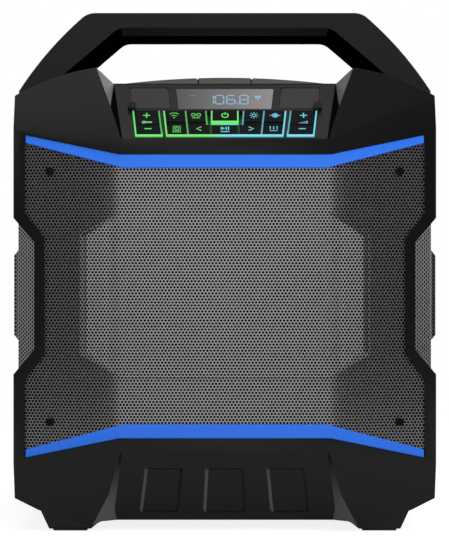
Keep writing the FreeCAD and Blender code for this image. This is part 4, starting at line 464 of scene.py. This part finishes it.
repaint_faces("handle", HANDLE_SHADE, painted_shade_under_handle)
repaint_faces("front_shell", PAINTED_HIGHLIGHT_FACET, painted_highlight_horn_facet)
repaint_faces("front_shell", PAINTED_SHADE_NOTCH, painted_shade_horn_notch)
repaint_faces("front_shell", PAINTED_HIGHLIGHT_CHEEK, painted_highlight_cheek_facet)
repaint_faces("front_shell", PAINTED_HIGHLIGHT_WALL, painted_highlight_recess_wall)
for name in ("mic_flap", "port_flap"):
    repaint_faces(name, TAB, flap_tab)


# Perforated sheets

SHEET = 1.2 * MM
CELL_SIDES = 6
HOLE_SIDES = 12
SHARED_CORNER = 0.2
UV_MARGIN = 1.01
UV_INSET = 0.002
UV_WALL = 0.6


def inside(outline, points):
    """Which points lie inside a closed outline."""
    result = np.zeros(len(points), bool)
    count = len(outline)
    for index in range(count):
        x0, y0 = outline[index]
        x1, y1 = outline[(index + 1) % count]
        crosses = (y0 > points[:, 1]) != (y1 > points[:, 1])
        if y0 != y1:
            at = x0 + (points[:, 1] - y0) / (y1 - y0) * (x1 - x0)
            result ^= crosses & (points[:, 0] < at)
    return result


def beyond(outline, points):
    """How far points lie outside a convex outline, negative inside."""
    middle = np.mean(outline, axis=0)
    distance = np.full(len(points), -1.0)
    count = len(outline)
    for index in range(count):
        a, b = np.array(outline[index]), np.array(outline[(index + 1) % count])
        normal = np.array([b[1] - a[1], a[0] - b[0]])
        normal /= np.linalg.norm(normal)
        if normal @ (middle - a) > 0:
            normal = -normal
        distance = np.maximum(distance, (points - a) @ normal)
    return distance


def lattice(outline, middle, pitch, upright=False):
    """Centres of staggered holes inside the outline: in level rows, or in upright columns."""
    step = pitch * math.sqrt(3) / 2
    reach = math.ceil(np.abs(np.array(outline) - middle).max() / step) + 1
    points = np.array([
        ((along + 0.5 * (row % 2)) * pitch, row * step)
        for row in range(-reach, reach + 1) for along in range(-reach - 1, reach + 1)
    ])
    if upright:
        points = points[:, ::-1]
    points = points + middle
    return points[inside(outline, points)]


def around(centres, radius, angles):
    """Points at a distance and at some angles round each centre."""
    return (centres[:, None, :] + radius * np.stack([np.cos(angles), np.sin(angles)], 1)[None]).reshape(-1, 2)


def perforated(name, centres, pitch, hole, upright, lift, place, material, node, body):
    """Pressed sheet with round holes: one six-sided cell round each hole. lift gives a point of
    the flat sheet its depth, and place turns flat coordinates and a depth into a place in space."""
    count = len(centres)
    rim = pitch / math.sqrt(3)
    turn = np.arange(CELL_SIDES) * math.pi / 3 + (0 if upright else math.pi / 6)
    spin = np.arange(HOLE_SIDES) * 2 * math.pi / HOLE_SIDES + (0 if not upright else -math.pi / 6)

    # Neighbouring cells share their corners
    flat = around(centres, rim, turn)
    keys = np.round(flat / (rim * SHARED_CORNER)).astype(np.int64)
    first, index = np.unique(keys, axis=0, return_index=True, return_inverse=True)[1:]
    index = index.reshape(count, CELL_SIDES)
    corners = flat[first]
    ring = around(centres, hole, spin)
    front = np.concatenate([corners, ring])
    depth = lift(ring)
    points = np.concatenate([place(front, lift(front)), place(ring, depth), place(ring, depth + SHEET)])

    # The front round each hole, then the hole's wall
    near = len(corners) + np.arange(count) * HOLE_SIDES
    faces = []
    for step in range(CELL_SIDES):
        a, b = index[:, step], index[:, (step + 1) % CELL_SIDES]
        at = 2 * step + 1
        before, here, after = (near + (at + shift) % HOLE_SIDES for shift in (-1, 0, 1))
        faces += [np.stack([a, here, before], 1), np.stack([a, after, here], 1), np.stack([a, b, after], 1)]
    triangles = np.concatenate(faces)
    brink = near + count * HOLE_SIDES
    walls = []
    for step in range(HOLE_SIDES):
        a, b = brink + step, brink + (step + 1) % HOLE_SIDES
        walls.append(np.stack([a, b, b + count * HOLE_SIDES, a + count * HOLE_SIDES], 1))
    quads = np.concatenate(walls)
    mesh = bpy.data.meshes.new(name)
    mesh.from_pydata(points.tolist(), [], triangles.tolist() + quads.tolist())

    # Flat layout for baked textures: the holes' walls lie within their holes
    low, high = front.min(0), front.max(0)
    scale = (high - low).max() * UV_MARGIN
    inner = around(centres, hole * UV_WALL, spin)
    flat_uv = (np.concatenate([front, ring, inner]) - low) / scale + UV_INSET
    layer = mesh.uv_layers.new(name="OFBake")
    corner_of = np.zeros(len(mesh.loops), np.int32)
    mesh.loops.foreach_get("vertex_index", corner_of)
    layer.data.foreach_set("uv", flat_uv[corner_of].astype(np.float32).ravel())

    on_front = np.zeros(len(mesh.polygons), bool)
    on_front[:len(triangles)] = True
    mesh.polygons.foreach_set("use_smooth", on_front)
    mesh.materials.append(material)
    mesh.materials.append(HOLE_WALL)
    mesh.polygons.foreach_set("material_index", np.where(on_front, 0, 1).astype(np.int32))
    mesh.validate()
    made = add_object(name, mesh)
    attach(made, body)
    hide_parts(node)


# Outlines of the grilles: right halves in millimetres from the middle plane

GRILLE_MIDDLE = 206.1
OVERLAP = 1.4
EDGE_SOFTNESS = 0.8 * MM


def both_sides(half):
    """Closed outline in metres from its right half in millimetres."""
    right = [(x * MM, z * MM) for x, z in half]
    return right + [(-x, z) for x, z in reversed(right) if x > 0]


def hidden_rim(half):
    """Closed outline a little wider than the opening, so that a sheet's rim hides in the case."""
    grown = []
    for x, z in half:
        grown.append((x + OVERLAP if x else 0, z + (OVERLAP if z > GRILLE_MIDDLE else -OVERLAP)))
    return both_sides(grown)


def soft_minimum(first, second, softness):
    mix = np.clip(0.5 + 0.5 * (second - first) / softness, 0, 1)
    return second * (1 - mix) + first * mix - softness * mix * (1 - mix) * 0.5


# Front grille, in three sheets side by side

PITCH = 3.0 * MM
HOLE = 1.12 * MM
GRILLE_SET_BACK = 4.0 * MM
CASE_HALF = 183.4
FLAT_HALF = 90.0
WING_DEPTH = 14.5
CREASE_RUN = 12.0 * MM
WING_SLOPE = WING_DEPTH / (CASE_HALF - FLAT_HALF)
PLATEAU = [(90.0, 135.2), (120.3, 158.1), (120.3, 257.7), (90.0, 278.6)]
BEVEL_SLOPE = 0.85
BEVEL_DEPTH = 4.5 * MM
WINDOW = [
    (0, 95.8), (88.0, 95.8), (173.3, 73.1), (173.3, 133.6), (156.0, 155.9), (156.0, 256.3),
    (173.3, 278.0), (173.3, 338.8), (88.0, 316.5), (0, 316.5),
]
SCREW_ASIDE = 151.4
SCREW_HEIGHTS = (97.4, 314.1)
SCREW_CLEAR = 1.9 * MM
SHEETS = 3
FAR = 1.0


def front_lift(points):
    """Depth of the front grille behind its face: wings past a soft crease, less the raised middle."""
    over = np.clip(np.abs(points[:, 0]) - FLAT_HALF * MM, 0, None)
    roll = WING_SLOPE * (over - CREASE_RUN * (1 - np.exp(-over / CREASE_RUN)))
    outside = beyond(both_sides(PLATEAU), points)
    ramp = np.clip(outside, 0, None) * BEVEL_SLOPE
    ramp = np.minimum(ramp, BEVEL_DEPTH + roll)
    return soft_minimum(roll, ramp, EDGE_SOFTNESS)


def front_place(points, depth):
    return np.stack([points[:, 0], FRONT + GRILLE_SET_BACK + depth, points[:, 1]], 1)


centres = lattice(hidden_rim(WINDOW), (0.0, GRILLE_MIDDLE * MM), PITCH)
screws = [(sign * SCREW_ASIDE * MM, z * MM) for sign in (-1, 1) for z in SCREW_HEIGHTS]
for x, z in screws:
    centres = centres[np.hypot(centres[:, 0] - x, centres[:, 1] - z) > SCREW_CLEAR]
for number in range(SHEETS):
    limits = np.quantile(centres[:, 0], [number / SHEETS, (number + 1) / SHEETS])
    left = -FAR if number == 0 else limits[0]
    right = FAR if number == SHEETS - 1 else limits[1]
    part = centres[(centres[:, 0] > left) & (centres[:, 0] <= right)]
    perforated(
        f"front_grille_sheet_{number}", part, PITCH, HOLE, False, front_lift, front_place, METAL,
        "front_grille", "enclosure",
    )


# Sockets in the heads of the grille's screws

SCREW_SOCKET = 1.3 * MM
SOCKET_SIDES = 6
SOCKET_DEPTH = 0.1 * MM
SCREW_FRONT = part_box("grille_screws")[0].y


def screw_socket(name, x, z):
    """Dark six-sided socket in the head of a grille screw."""
    work = bmesh.new()
    turn = Matrix.Translation((x, SCREW_FRONT, z)) @ Matrix.Rotation(math.radians(90), 4, "X")
    bmesh.ops.create_cone(
        work, cap_ends=True, segments=SOCKET_SIDES, radius1=SCREW_SOCKET, radius2=SCREW_SOCKET,
        depth=SOCKET_DEPTH, matrix=turn,
    )
    mesh = bpy.data.meshes.new(name)
    work.to_mesh(mesh)
    work.free()
    mesh.materials.append(HOLE_WALL)
    made = add_object(name, mesh)
    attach(made, "enclosure")


for number, (x, z) in enumerate(screws):
    screw_socket(f"screw_socket_{number}", x, z)


# Side grilles

SIDE_PITCH = 3.5 * MM
SIDE_HOLE = 1.2 * MM
SLOPE_START = 89.0
SLOPE_END = 117.5
SLOPE_LIMIT = 1.2
SIDE_OUTLINE = [(SLOPE_START, 138.3), (SLOPE_END, 160.2), (SLOPE_END, 252.7), (SLOPE_START, 274.0)]
SIDE_PLATEAU = [(77.0, 171.0), (77.0, 242.0)]
SIDE_RISE = 5.3 * MM
SIDE_RUN = 7.0 * MM
SIDE_DROP = 18.4 * MM


def side_lift(points):
    """How far a side grille lies inside the case's side, negative on its raised middle."""
    start, end = SLOPE_START * MM, SLOPE_END * MM
    reach = (np.abs(points[:, 0]) - start) / (end - start)
    base = np.clip(reach, 0, SLOPE_LIMIT) * SIDE_DROP
    outside = np.clip(beyond(both_sides(SIDE_PLATEAU), points), 0, None)
    ramp = outside * (SIDE_RISE + SHEET) / SIDE_RUN - SIDE_RISE
    return soft_minimum(base, ramp, EDGE_SOFTNESS)


def side_place(sign):
    def place(points, depth):
        return np.stack([sign * (CASE_HALF * MM - depth), points[:, 0] * sign, points[:, 1]], 1)
    return place


side_centres = lattice(hidden_rim(SIDE_OUTLINE), (0.0, GRILLE_MIDDLE * MM), SIDE_PITCH, upright=True)
for side, sign in (("right", 1), ("left", -1)):
    perforated(
        f"side_grille_sheet_{side}", side_centres, SIDE_PITCH, SIDE_HOLE, True, side_lift, side_place(sign),
        SIDE_METAL, f"side_grille_{side}", "enclosure",
    )


# Thin lines in the plane of the panel: across it, up it and out of it, in millimetres from the middle
# of its foot

PANEL_OUT = -Vector(next(joint["axis"] for joint in frame["joints"] if joint["name"] == "key_play_press"))
PANEL_UP = Vector((0, -PANEL_OUT.z, PANEL_OUT.y)) * -1
PANEL_SET_BACK = 3.0 * MM
PANEL_FOOT_HEIGHT = 341.9 * MM
PANEL_FOOT = Vector((0, FRONT + PANEL_SET_BACK, PANEL_FOOT_HEIGHT))
FLATNESS = 0.08
SIGN_RISE = 0.06
ROUND_STEPS = 28
LEAST_STEPS = 4


def circle(x, y, radius, start=0.0, end=360.0):
    """Points along an arc, and whether it closes."""
    steps = max(LEAST_STEPS, round(ROUND_STEPS * abs(end - start) / 360))
    turns = [math.radians(start + (end - start) * step / steps) for step in range(steps + 1)]
    points = [(x + radius * math.cos(turn), y + radius * math.sin(turn)) for turn in turns]
    closed = abs(end - start) >= 360
    if closed:
        points.pop()
    return points, closed


def line(*points):
    return list(points), False


def loop(*points):
    return list(points), True


def sign_object(name, strokes, x, v, width, material, body, rise=SIGN_RISE):
    """Thin raised lines at a place on the panel; strokes are in millimetres round that place."""
    curve = bpy.data.curves.new(name, "CURVE")
    curve.dimensions = "3D"
    curve.bevel_depth = width / 2 * MM
    curve.bevel_resolution = 1
    curve.use_fill_caps = True
    for points, closed in strokes:
        spline = curve.splines.new("POLY")
        spline.points.add(len(points) - 1)
        for index, (px, py) in enumerate(points):
            spline.points[index].co = (px * MM, py * MM, 0, 1)
        spline.use_cyclic_u = closed
    drawn = add_object(f"{name}_curve", curve)
    bpy.context.view_layer.update()
    mesh = bpy.data.meshes.new_from_object(drawn.evaluated_get(bpy.context.evaluated_depsgraph_get()))
    bpy.data.objects.remove(drawn)
    origin = PANEL_FOOT + Vector((x * MM, 0, 0)) + PANEL_UP * (v * MM) + PANEL_OUT * (rise * MM)
    mesh.transform(Matrix((
        (1, 0, 0, origin.x),
        (0, PANEL_UP.y, PANEL_OUT.y * FLATNESS, origin.y),
        (0, PANEL_UP.z, PANEL_OUT.z * FLATNESS, origin.z),
        (0, 0, 0, 1),
    )))
    set_look(mesh, material)
    made = add_object(name, mesh)
    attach(made, body)


# Signs on the keys

PLUS = [line((-3.1, 0), (3.1, 0)), line((0, -3.0), (0, 3.0))]
MINUS = [line((-3.1, 0), (3.1, 0))]
MICROPHONE = [circle(-3.0, 0, 1.1), loop((-1.7, 0.7), (3.7, 0.35), (3.7, -0.35), (-1.7, -0.7))]
LOUDNESS = [loop((-3.8, -1.0), (3.6, -1.0), (3.6, 1.2))]
WAVES = [circle(0, -2.6, 0.4), circle(0, -2.6, 2.8, 40, 140), circle(0, -2.6, 5.6, 45, 135)]
LINK = [
    circle(-2.2, 0.6, 1.7, 30, 330), circle(2.2, 0.6, 1.7, -150, 150), line((-1.6, 0.6), (1.6, 0.6)),
    line((-3.4, -3.0), (3.4, -3.0)),
]
RAYS = 8
SUN = [circle(0, 0, 1.6)] + [
    line(*[(r * math.cos(turn), r * math.sin(turn)) for r in (2.5, 3.8)])
    for turn in (index * 2 * math.pi / RAYS for index in range(RAYS))
]
DROP = [
    circle(0, 0, 2.3), circle(0, 0, 1.3), circle(0, 0, 0.4), line((-4.6, 0), (-2.2, 0)),
    line((2.2, 0), (4.6, 0)),
]
RECORD = [
    loop((-3.0, -2.2), (3.0, -2.2), (3.0, 3.0), (-3.0, 3.0)), circle(0, 0.4, 1.5),
    line((-3.8, -3.8), (3.8, -3.8)),
]
PREVIOUS = [line((2.0, 2.2), (-2.0, 0), (2.0, -2.2))]
NEXT = [line((-2.0, 2.2), (2.0, 0), (-2.0, -2.2))]
PLAY = [
    loop((-3.4, -1.3), (-0.5, 0.4), (-3.4, 2.1)), line((-2.9, 0.4), (-1.2, 0.4)),
    line((1.1, -1.5), (1.1, 2.3)), line((3.1, -1.5), (3.1, 2.3)), line((-3.8, -3.4), (3.8, -3.4)),
]
SLIDERS = [
    line((-3.0, -1.0), (-3.0, 3.0)), line((0, -1.0), (0, 3.0)), line((3.0, -1.0), (3.0, 3.0)),
    line((-3.4, -2.4), (3.4, -2.4)), line((-3.6, 1.6), (-2.4, 1.6)), line((-0.6, 0.4), (0.6, 0.4)),
    line((2.4, 2.0), (3.6, 2.0)),
]
POWER = [circle(0, -0.2, 2.7, 120, 420), line((0, 0.4), (0, 3.2))]

LINE = 1.15
FINE_LINE = 0.75
UPPER_ROW = 27.7
LABEL_ROW = 19.5
LOWER_ROW = 11.8

# Each sign, its strokes, its place across and up the panel, its line and its key
SIGNS = [
    ("plus_left", PLUS, -68.1, UPPER_ROW, LINE, "key_microphone_up"),
    ("microphone", MICROPHONE, -67.3, LABEL_ROW, LINE, "key_microphone_up"),
    ("minus_left", MINUS, -66.5, LOWER_ROW, LINE, "key_microphone_down"),
    ("waves", WAVES, -44.1, UPPER_ROW, FINE_LINE, "key_wireless"),
    ("link", LINK, -25.0, UPPER_ROW, FINE_LINE, "key_link"),
    ("power", POWER, 0.2, 28.0, LINE, "key_power"),
    ("sun", SUN, 25.4, UPPER_ROW, FINE_LINE, "key_light"),
    ("drop", DROP, 43.9, UPPER_ROW, FINE_LINE, "key_colour"),
    ("record", RECORD, -41.6, LOWER_ROW, FINE_LINE, "key_record"),
    ("previous", PREVIOUS, -22.4, LOWER_ROW, LINE, "key_previous"),
    ("play", PLAY, 0.2, LOWER_ROW, LINE, "key_play"),
    ("next", NEXT, 22.8, LOWER_ROW, LINE, "key_next"),
    ("sliders", SLIDERS, 42.3, LOWER_ROW, FINE_LINE, "key_equaliser"),
    ("plus_right", PLUS, 68.6, UPPER_ROW, LINE, "key_volume_up"),
    ("loudness", LOUDNESS, 68.0, LABEL_ROW, LINE, "key_volume_up"),
    ("minus_right", MINUS, 67.0, LOWER_ROW, LINE, "key_volume_down"),
]
for name, strokes, x, v, width, body in SIGNS:
    sign_object(f"sign_{name}", strokes, x, v, width, POWER_ICON if name == "power" else ICON, body)


# Plain seven-segment digits and small signs on the display

DIGIT_HALF = 3.6
DIGIT_TALL = 5.2
SEGMENT_GAP = 0.55
SEGMENTS = {
    "top": line((-DIGIT_HALF + SEGMENT_GAP, DIGIT_TALL), (DIGIT_HALF - SEGMENT_GAP, DIGIT_TALL)),
    "middle": line((-DIGIT_HALF + SEGMENT_GAP, 0), (DIGIT_HALF - SEGMENT_GAP, 0)),
    "bottom": line((-DIGIT_HALF + SEGMENT_GAP, -DIGIT_TALL), (DIGIT_HALF - SEGMENT_GAP, -DIGIT_TALL)),
    "upper_left": line((-DIGIT_HALF, SEGMENT_GAP), (-DIGIT_HALF, DIGIT_TALL - SEGMENT_GAP)),
    "upper_right": line((DIGIT_HALF, SEGMENT_GAP), (DIGIT_HALF, DIGIT_TALL - SEGMENT_GAP)),
    "lower_left": line((-DIGIT_HALF, -DIGIT_TALL + SEGMENT_GAP), (-DIGIT_HALF, -SEGMENT_GAP)),
    "lower_right": line((DIGIT_HALF, -DIGIT_TALL + SEGMENT_GAP), (DIGIT_HALF, -SEGMENT_GAP)),
}
DIGITS = {
    "0": ("top", "bottom", "upper_left", "upper_right", "lower_left", "lower_right"),
    "1": ("upper_right", "lower_right"),
    "6": ("top", "middle", "bottom", "upper_left", "lower_left", "lower_right"),
    "8": tuple(SEGMENTS),
}
NUMBER = (("1", -13.5), ("0", -4.6), ("6", 5.4), ("8", 16.8))
NUMBER_AT = 46.7
POINT = [circle(0, 0, 0.3)]
AERIAL = [
    line((0, -2.6), (0, 2.0)), circle(0, 2.0, 0.8), circle(0, 2.0, 2.2, -45, 45),
    circle(0, 2.0, 2.2, 135, 225),
]
BAR = [line((-4.2, 0), (4.2, 0))]
DASHES = [line((-2.4, 0), (-1.0, 0)), line((-0.4, 0), (2.4, 0))]

# Each small sign, its strokes, its place across and up the panel, its line and its light
SMALL_SIGNS = [
    ("digit_point", POINT, 11.4, NUMBER_AT - DIGIT_TALL, 0.9, DIGIT),
    ("aerial", AERIAL, 29.0, 48.2, 1.2, DIGIT),
    ("warning_bar", BAR, 27.0, 42.6, 0.9, WARNING),
    ("small_dashes", DASHES, -28.0, 51.4, 0.5, DIGIT),
]
for number, (digit, x) in enumerate(NUMBER):
    strokes = [SEGMENTS[segment] for segment in DIGITS[digit]]
    sign_object(f"digit_{number}", strokes, x, NUMBER_AT, LINE, DIGIT, "enclosure")
for name, strokes, x, v, width, look in SMALL_SIGNS:
    sign_object(name, strokes, x, v, width, look, "enclosure")


# Web of the panel between the two rows of keys

WEB_MIDDLE = 0.2
WEB_AT = 17.8
WEB_REACH = (16.7, 49.4)
WEB_WIDTH = 2.4
WEB_RISE = -0.3
for side, sign in (("right", 1), ("left", -1)):
    strokes = [line(*[(sign * x, 0) for x in WEB_REACH])]
    sign_object(f"key_web_{side}", strokes, WEB_MIDDLE, WEB_AT, WEB_WIDTH, KEY, "enclosure", rise=WEB_RISE)


# Dark joint between the panel's top edge and the deck

JOINT_HALF = 103.0
JOINT_AT = 66.0
JOINT_WIDTH = 1.2
joint_strip = [line((-JOINT_HALF, 0), (JOINT_HALF, 0))]
sign_object("deck_joint", joint_strip, 0.0, JOINT_AT, JOINT_WIDTH, INNER, "enclosure")


# Camera, whose lens gives the photograph's scale at the speaker's front

PHOTO_HEIGHT = 544
PIXEL = 0.8593 * MM
DISTANCE = 1.5
SENSOR = 36.0
CAMERA_ASIDE = -0.25 * MM
CAMERA_HEIGHT = 227.1 * MM
NEAREST_SEEN = 0.01
camera = add_object("camera", bpy.data.cameras.new("camera"))
camera.location = (CAMERA_ASIDE, FRONT - DISTANCE, CAMERA_HEIGHT)
camera.rotation_euler = (math.radians(90), 0, 0)
camera.data.sensor_width = SENSOR
camera.data.lens = SENSOR * DISTANCE / (PHOTO_HEIGHT * PIXEL)
camera.data.clip_start = NEAREST_SEEN
scene.camera = camera
scene.view_settings.view_transform = "Standard"


# Surroundings

WHITE = (1.0, 1.0, 1.0, 1.0)
ROOM_LIGHT = 0.25

# What a reflection sees of the studio: direction, half angles where each part is full and where it
# has faded out, and brightness
STUDIO = {
    "background": ((0.0, 1.0, 0.10), 20, 45, 1.0),
    "background_left": ((-0.52, 0.80, 0.28), 14, 36, 0.6),
    "background_right": ((0.52, 0.80, 0.28), 14, 36, 2.2),
    "back_top": ((0.0, 0.55, 0.83), 15, 36, 0.9),
    "ceiling": ((0.0, -0.22, 0.98), 15, 40, 0.5),
    "upper_left": ((-0.30, -0.75, 0.60), 8, 26, 0.7),
    "upper_right": ((0.30, -0.75, 0.60), 8, 26, 0.05),
    "front_left": ((-0.80, -0.60, 0.05), 8, 22, 0.4),
    "front_right": ((0.80, -0.60, 0.05), 8, 22, 0.3),
    "front_top": ((0.0, -0.96, 0.28), 6, 20, 0.3),
    "side_left": ((-0.95, 0.30, 0.05), 12, 34, 0.6),
    "side_right": ((0.95, 0.30, 0.05), 12, 34, 0.1),
}


def studio_brightness(tree):
    """Sum of the studio's soft parts in the direction that a ray leaves in."""
    direction = add_node(tree, "TexCoord").outputs["Generated"]
    total = 0.0
    for axis, full, faded, brightness in STUDIO.values():
        along = add_node(tree, "VectorMath", {0: direction, 1: Vector(axis).normalized()})
        along.operation = "DOT_PRODUCT"
        fade = add_node(tree, "MapRange", {
            "Value": along.outputs["Value"],
            "From Min": math.cos(math.radians(faded)), "From Max": math.cos(math.radians(full)),
        })
        fade.interpolation_type = "SMOOTHSTEP"
        part = computed(tree, "MULTIPLY", fade.outputs["Result"], brightness)
        total = computed(tree, "ADD", part, total)
    return total


def surroundings():
    """White where the camera or glass looks past the speaker, the studio's soft parts where a
    reflection does, and plain room light elsewhere."""
    world = bpy.data.worlds.new("studio")
    world.use_nodes = True
    tree = world.node_tree
    tree.nodes.clear()

    def background(strength):
        return add_node(tree, "Background", {"Color": WHITE, "Strength": strength}).outputs["Background"]

    def mixed(factor, first, second):
        return add_node(tree, "MixShader", {"Fac": factor, 1: first, 2: second}).outputs["Shader"]

    seen, reflected = direct_rays(tree)
    unseen = mixed(reflected, background(ROOM_LIGHT), background(studio_brightness(tree)))
    add_node(tree, "OutputWorld", {"Surface": mixed(seen, unseen, background(1.0))})
    return world


scene.world = surroundings()


# Floor

FLOOR_COLOR = (0.38, 0.38, 0.38, 1.0)
FLOOR_GLOW = 0.85
FLOOR_SHINE = 0.05
FLOOR_HALF = 0.9


def floor_look():
    """Pale floor: it glows white, and its own colour keeps the speaker's shadow."""
    material = bpy.data.materials.new("pale_floor")
    material.use_nodes = True
    tree = material.node_tree
    tree.nodes.clear()
    seen, reflected = direct_rays(tree)
    shine = computed(tree, "MULTIPLY", reflected, FLOOR_SHINE)
    strength = computed(tree, "ADD", computed(tree, "MULTIPLY", seen, FLOOR_GLOW), shine)
    pale = add_node(tree, "BsdfDiffuse", {"Color": FLOOR_COLOR}).outputs["BSDF"]
    glow = add_node(tree, "Emission", {"Strength": strength}).outputs["Emission"]
    both = add_node(tree, "AddShader", {0: pale, 1: glow}).outputs["Shader"]
    add_node(tree, "OutputMaterial", {"Surface": both})
    return material


floor_mesh = bpy.data.meshes.new("floor")
floor_corners = [(x * FLOOR_HALF, y * FLOOR_HALF, 0) for x, y in ((-1, -1), (1, -1), (1, 1), (-1, 1))]
floor_mesh.from_pydata(floor_corners, [], [(0, 1, 2, 3)])
set_look(floor_mesh, floor_look())
floor = add_object("floor", floor_mesh)


# Lamps: soft boxes that face the speaker's middle

SPEAKER_MIDDLE = Vector((0, 0, 0.22))

# Place, side, power in watts, and whether it lights surfaces and shows in reflections
LAMPS = {
    "front_shine": ((0.0, -3.0, 0.25), (0.9, 1.0), 2.0, False, True),
    "front_fill": ((0.0, -3.0, 0.3), (2.0, 2.0), 45.0, True, False),
    "key_box": ((1.7, -1.6, 2.0), (1.0, 1.0), 35.0, True, False),
    "top_box": ((0.0, -0.4, 2.5), (1.2, 1.2), 20.0, True, False),
}
for name, (place, (width, height), power, diffuse, glossy) in LAMPS.items():
    light = bpy.data.lights.new(name, "AREA")
    light.shape = "RECTANGLE"
    light.size = width
    light.size_y = height
    light.energy = power
    lamp = add_object(name, light)
    lamp.location = place
    lamp.rotation_euler = (SPEAKER_MIDDLE - Vector(place)).to_track_quat("-Z", "Y").to_euler()
    lamp.visible_diffuse = diffuse
    lamp.visible_glossy = glossy
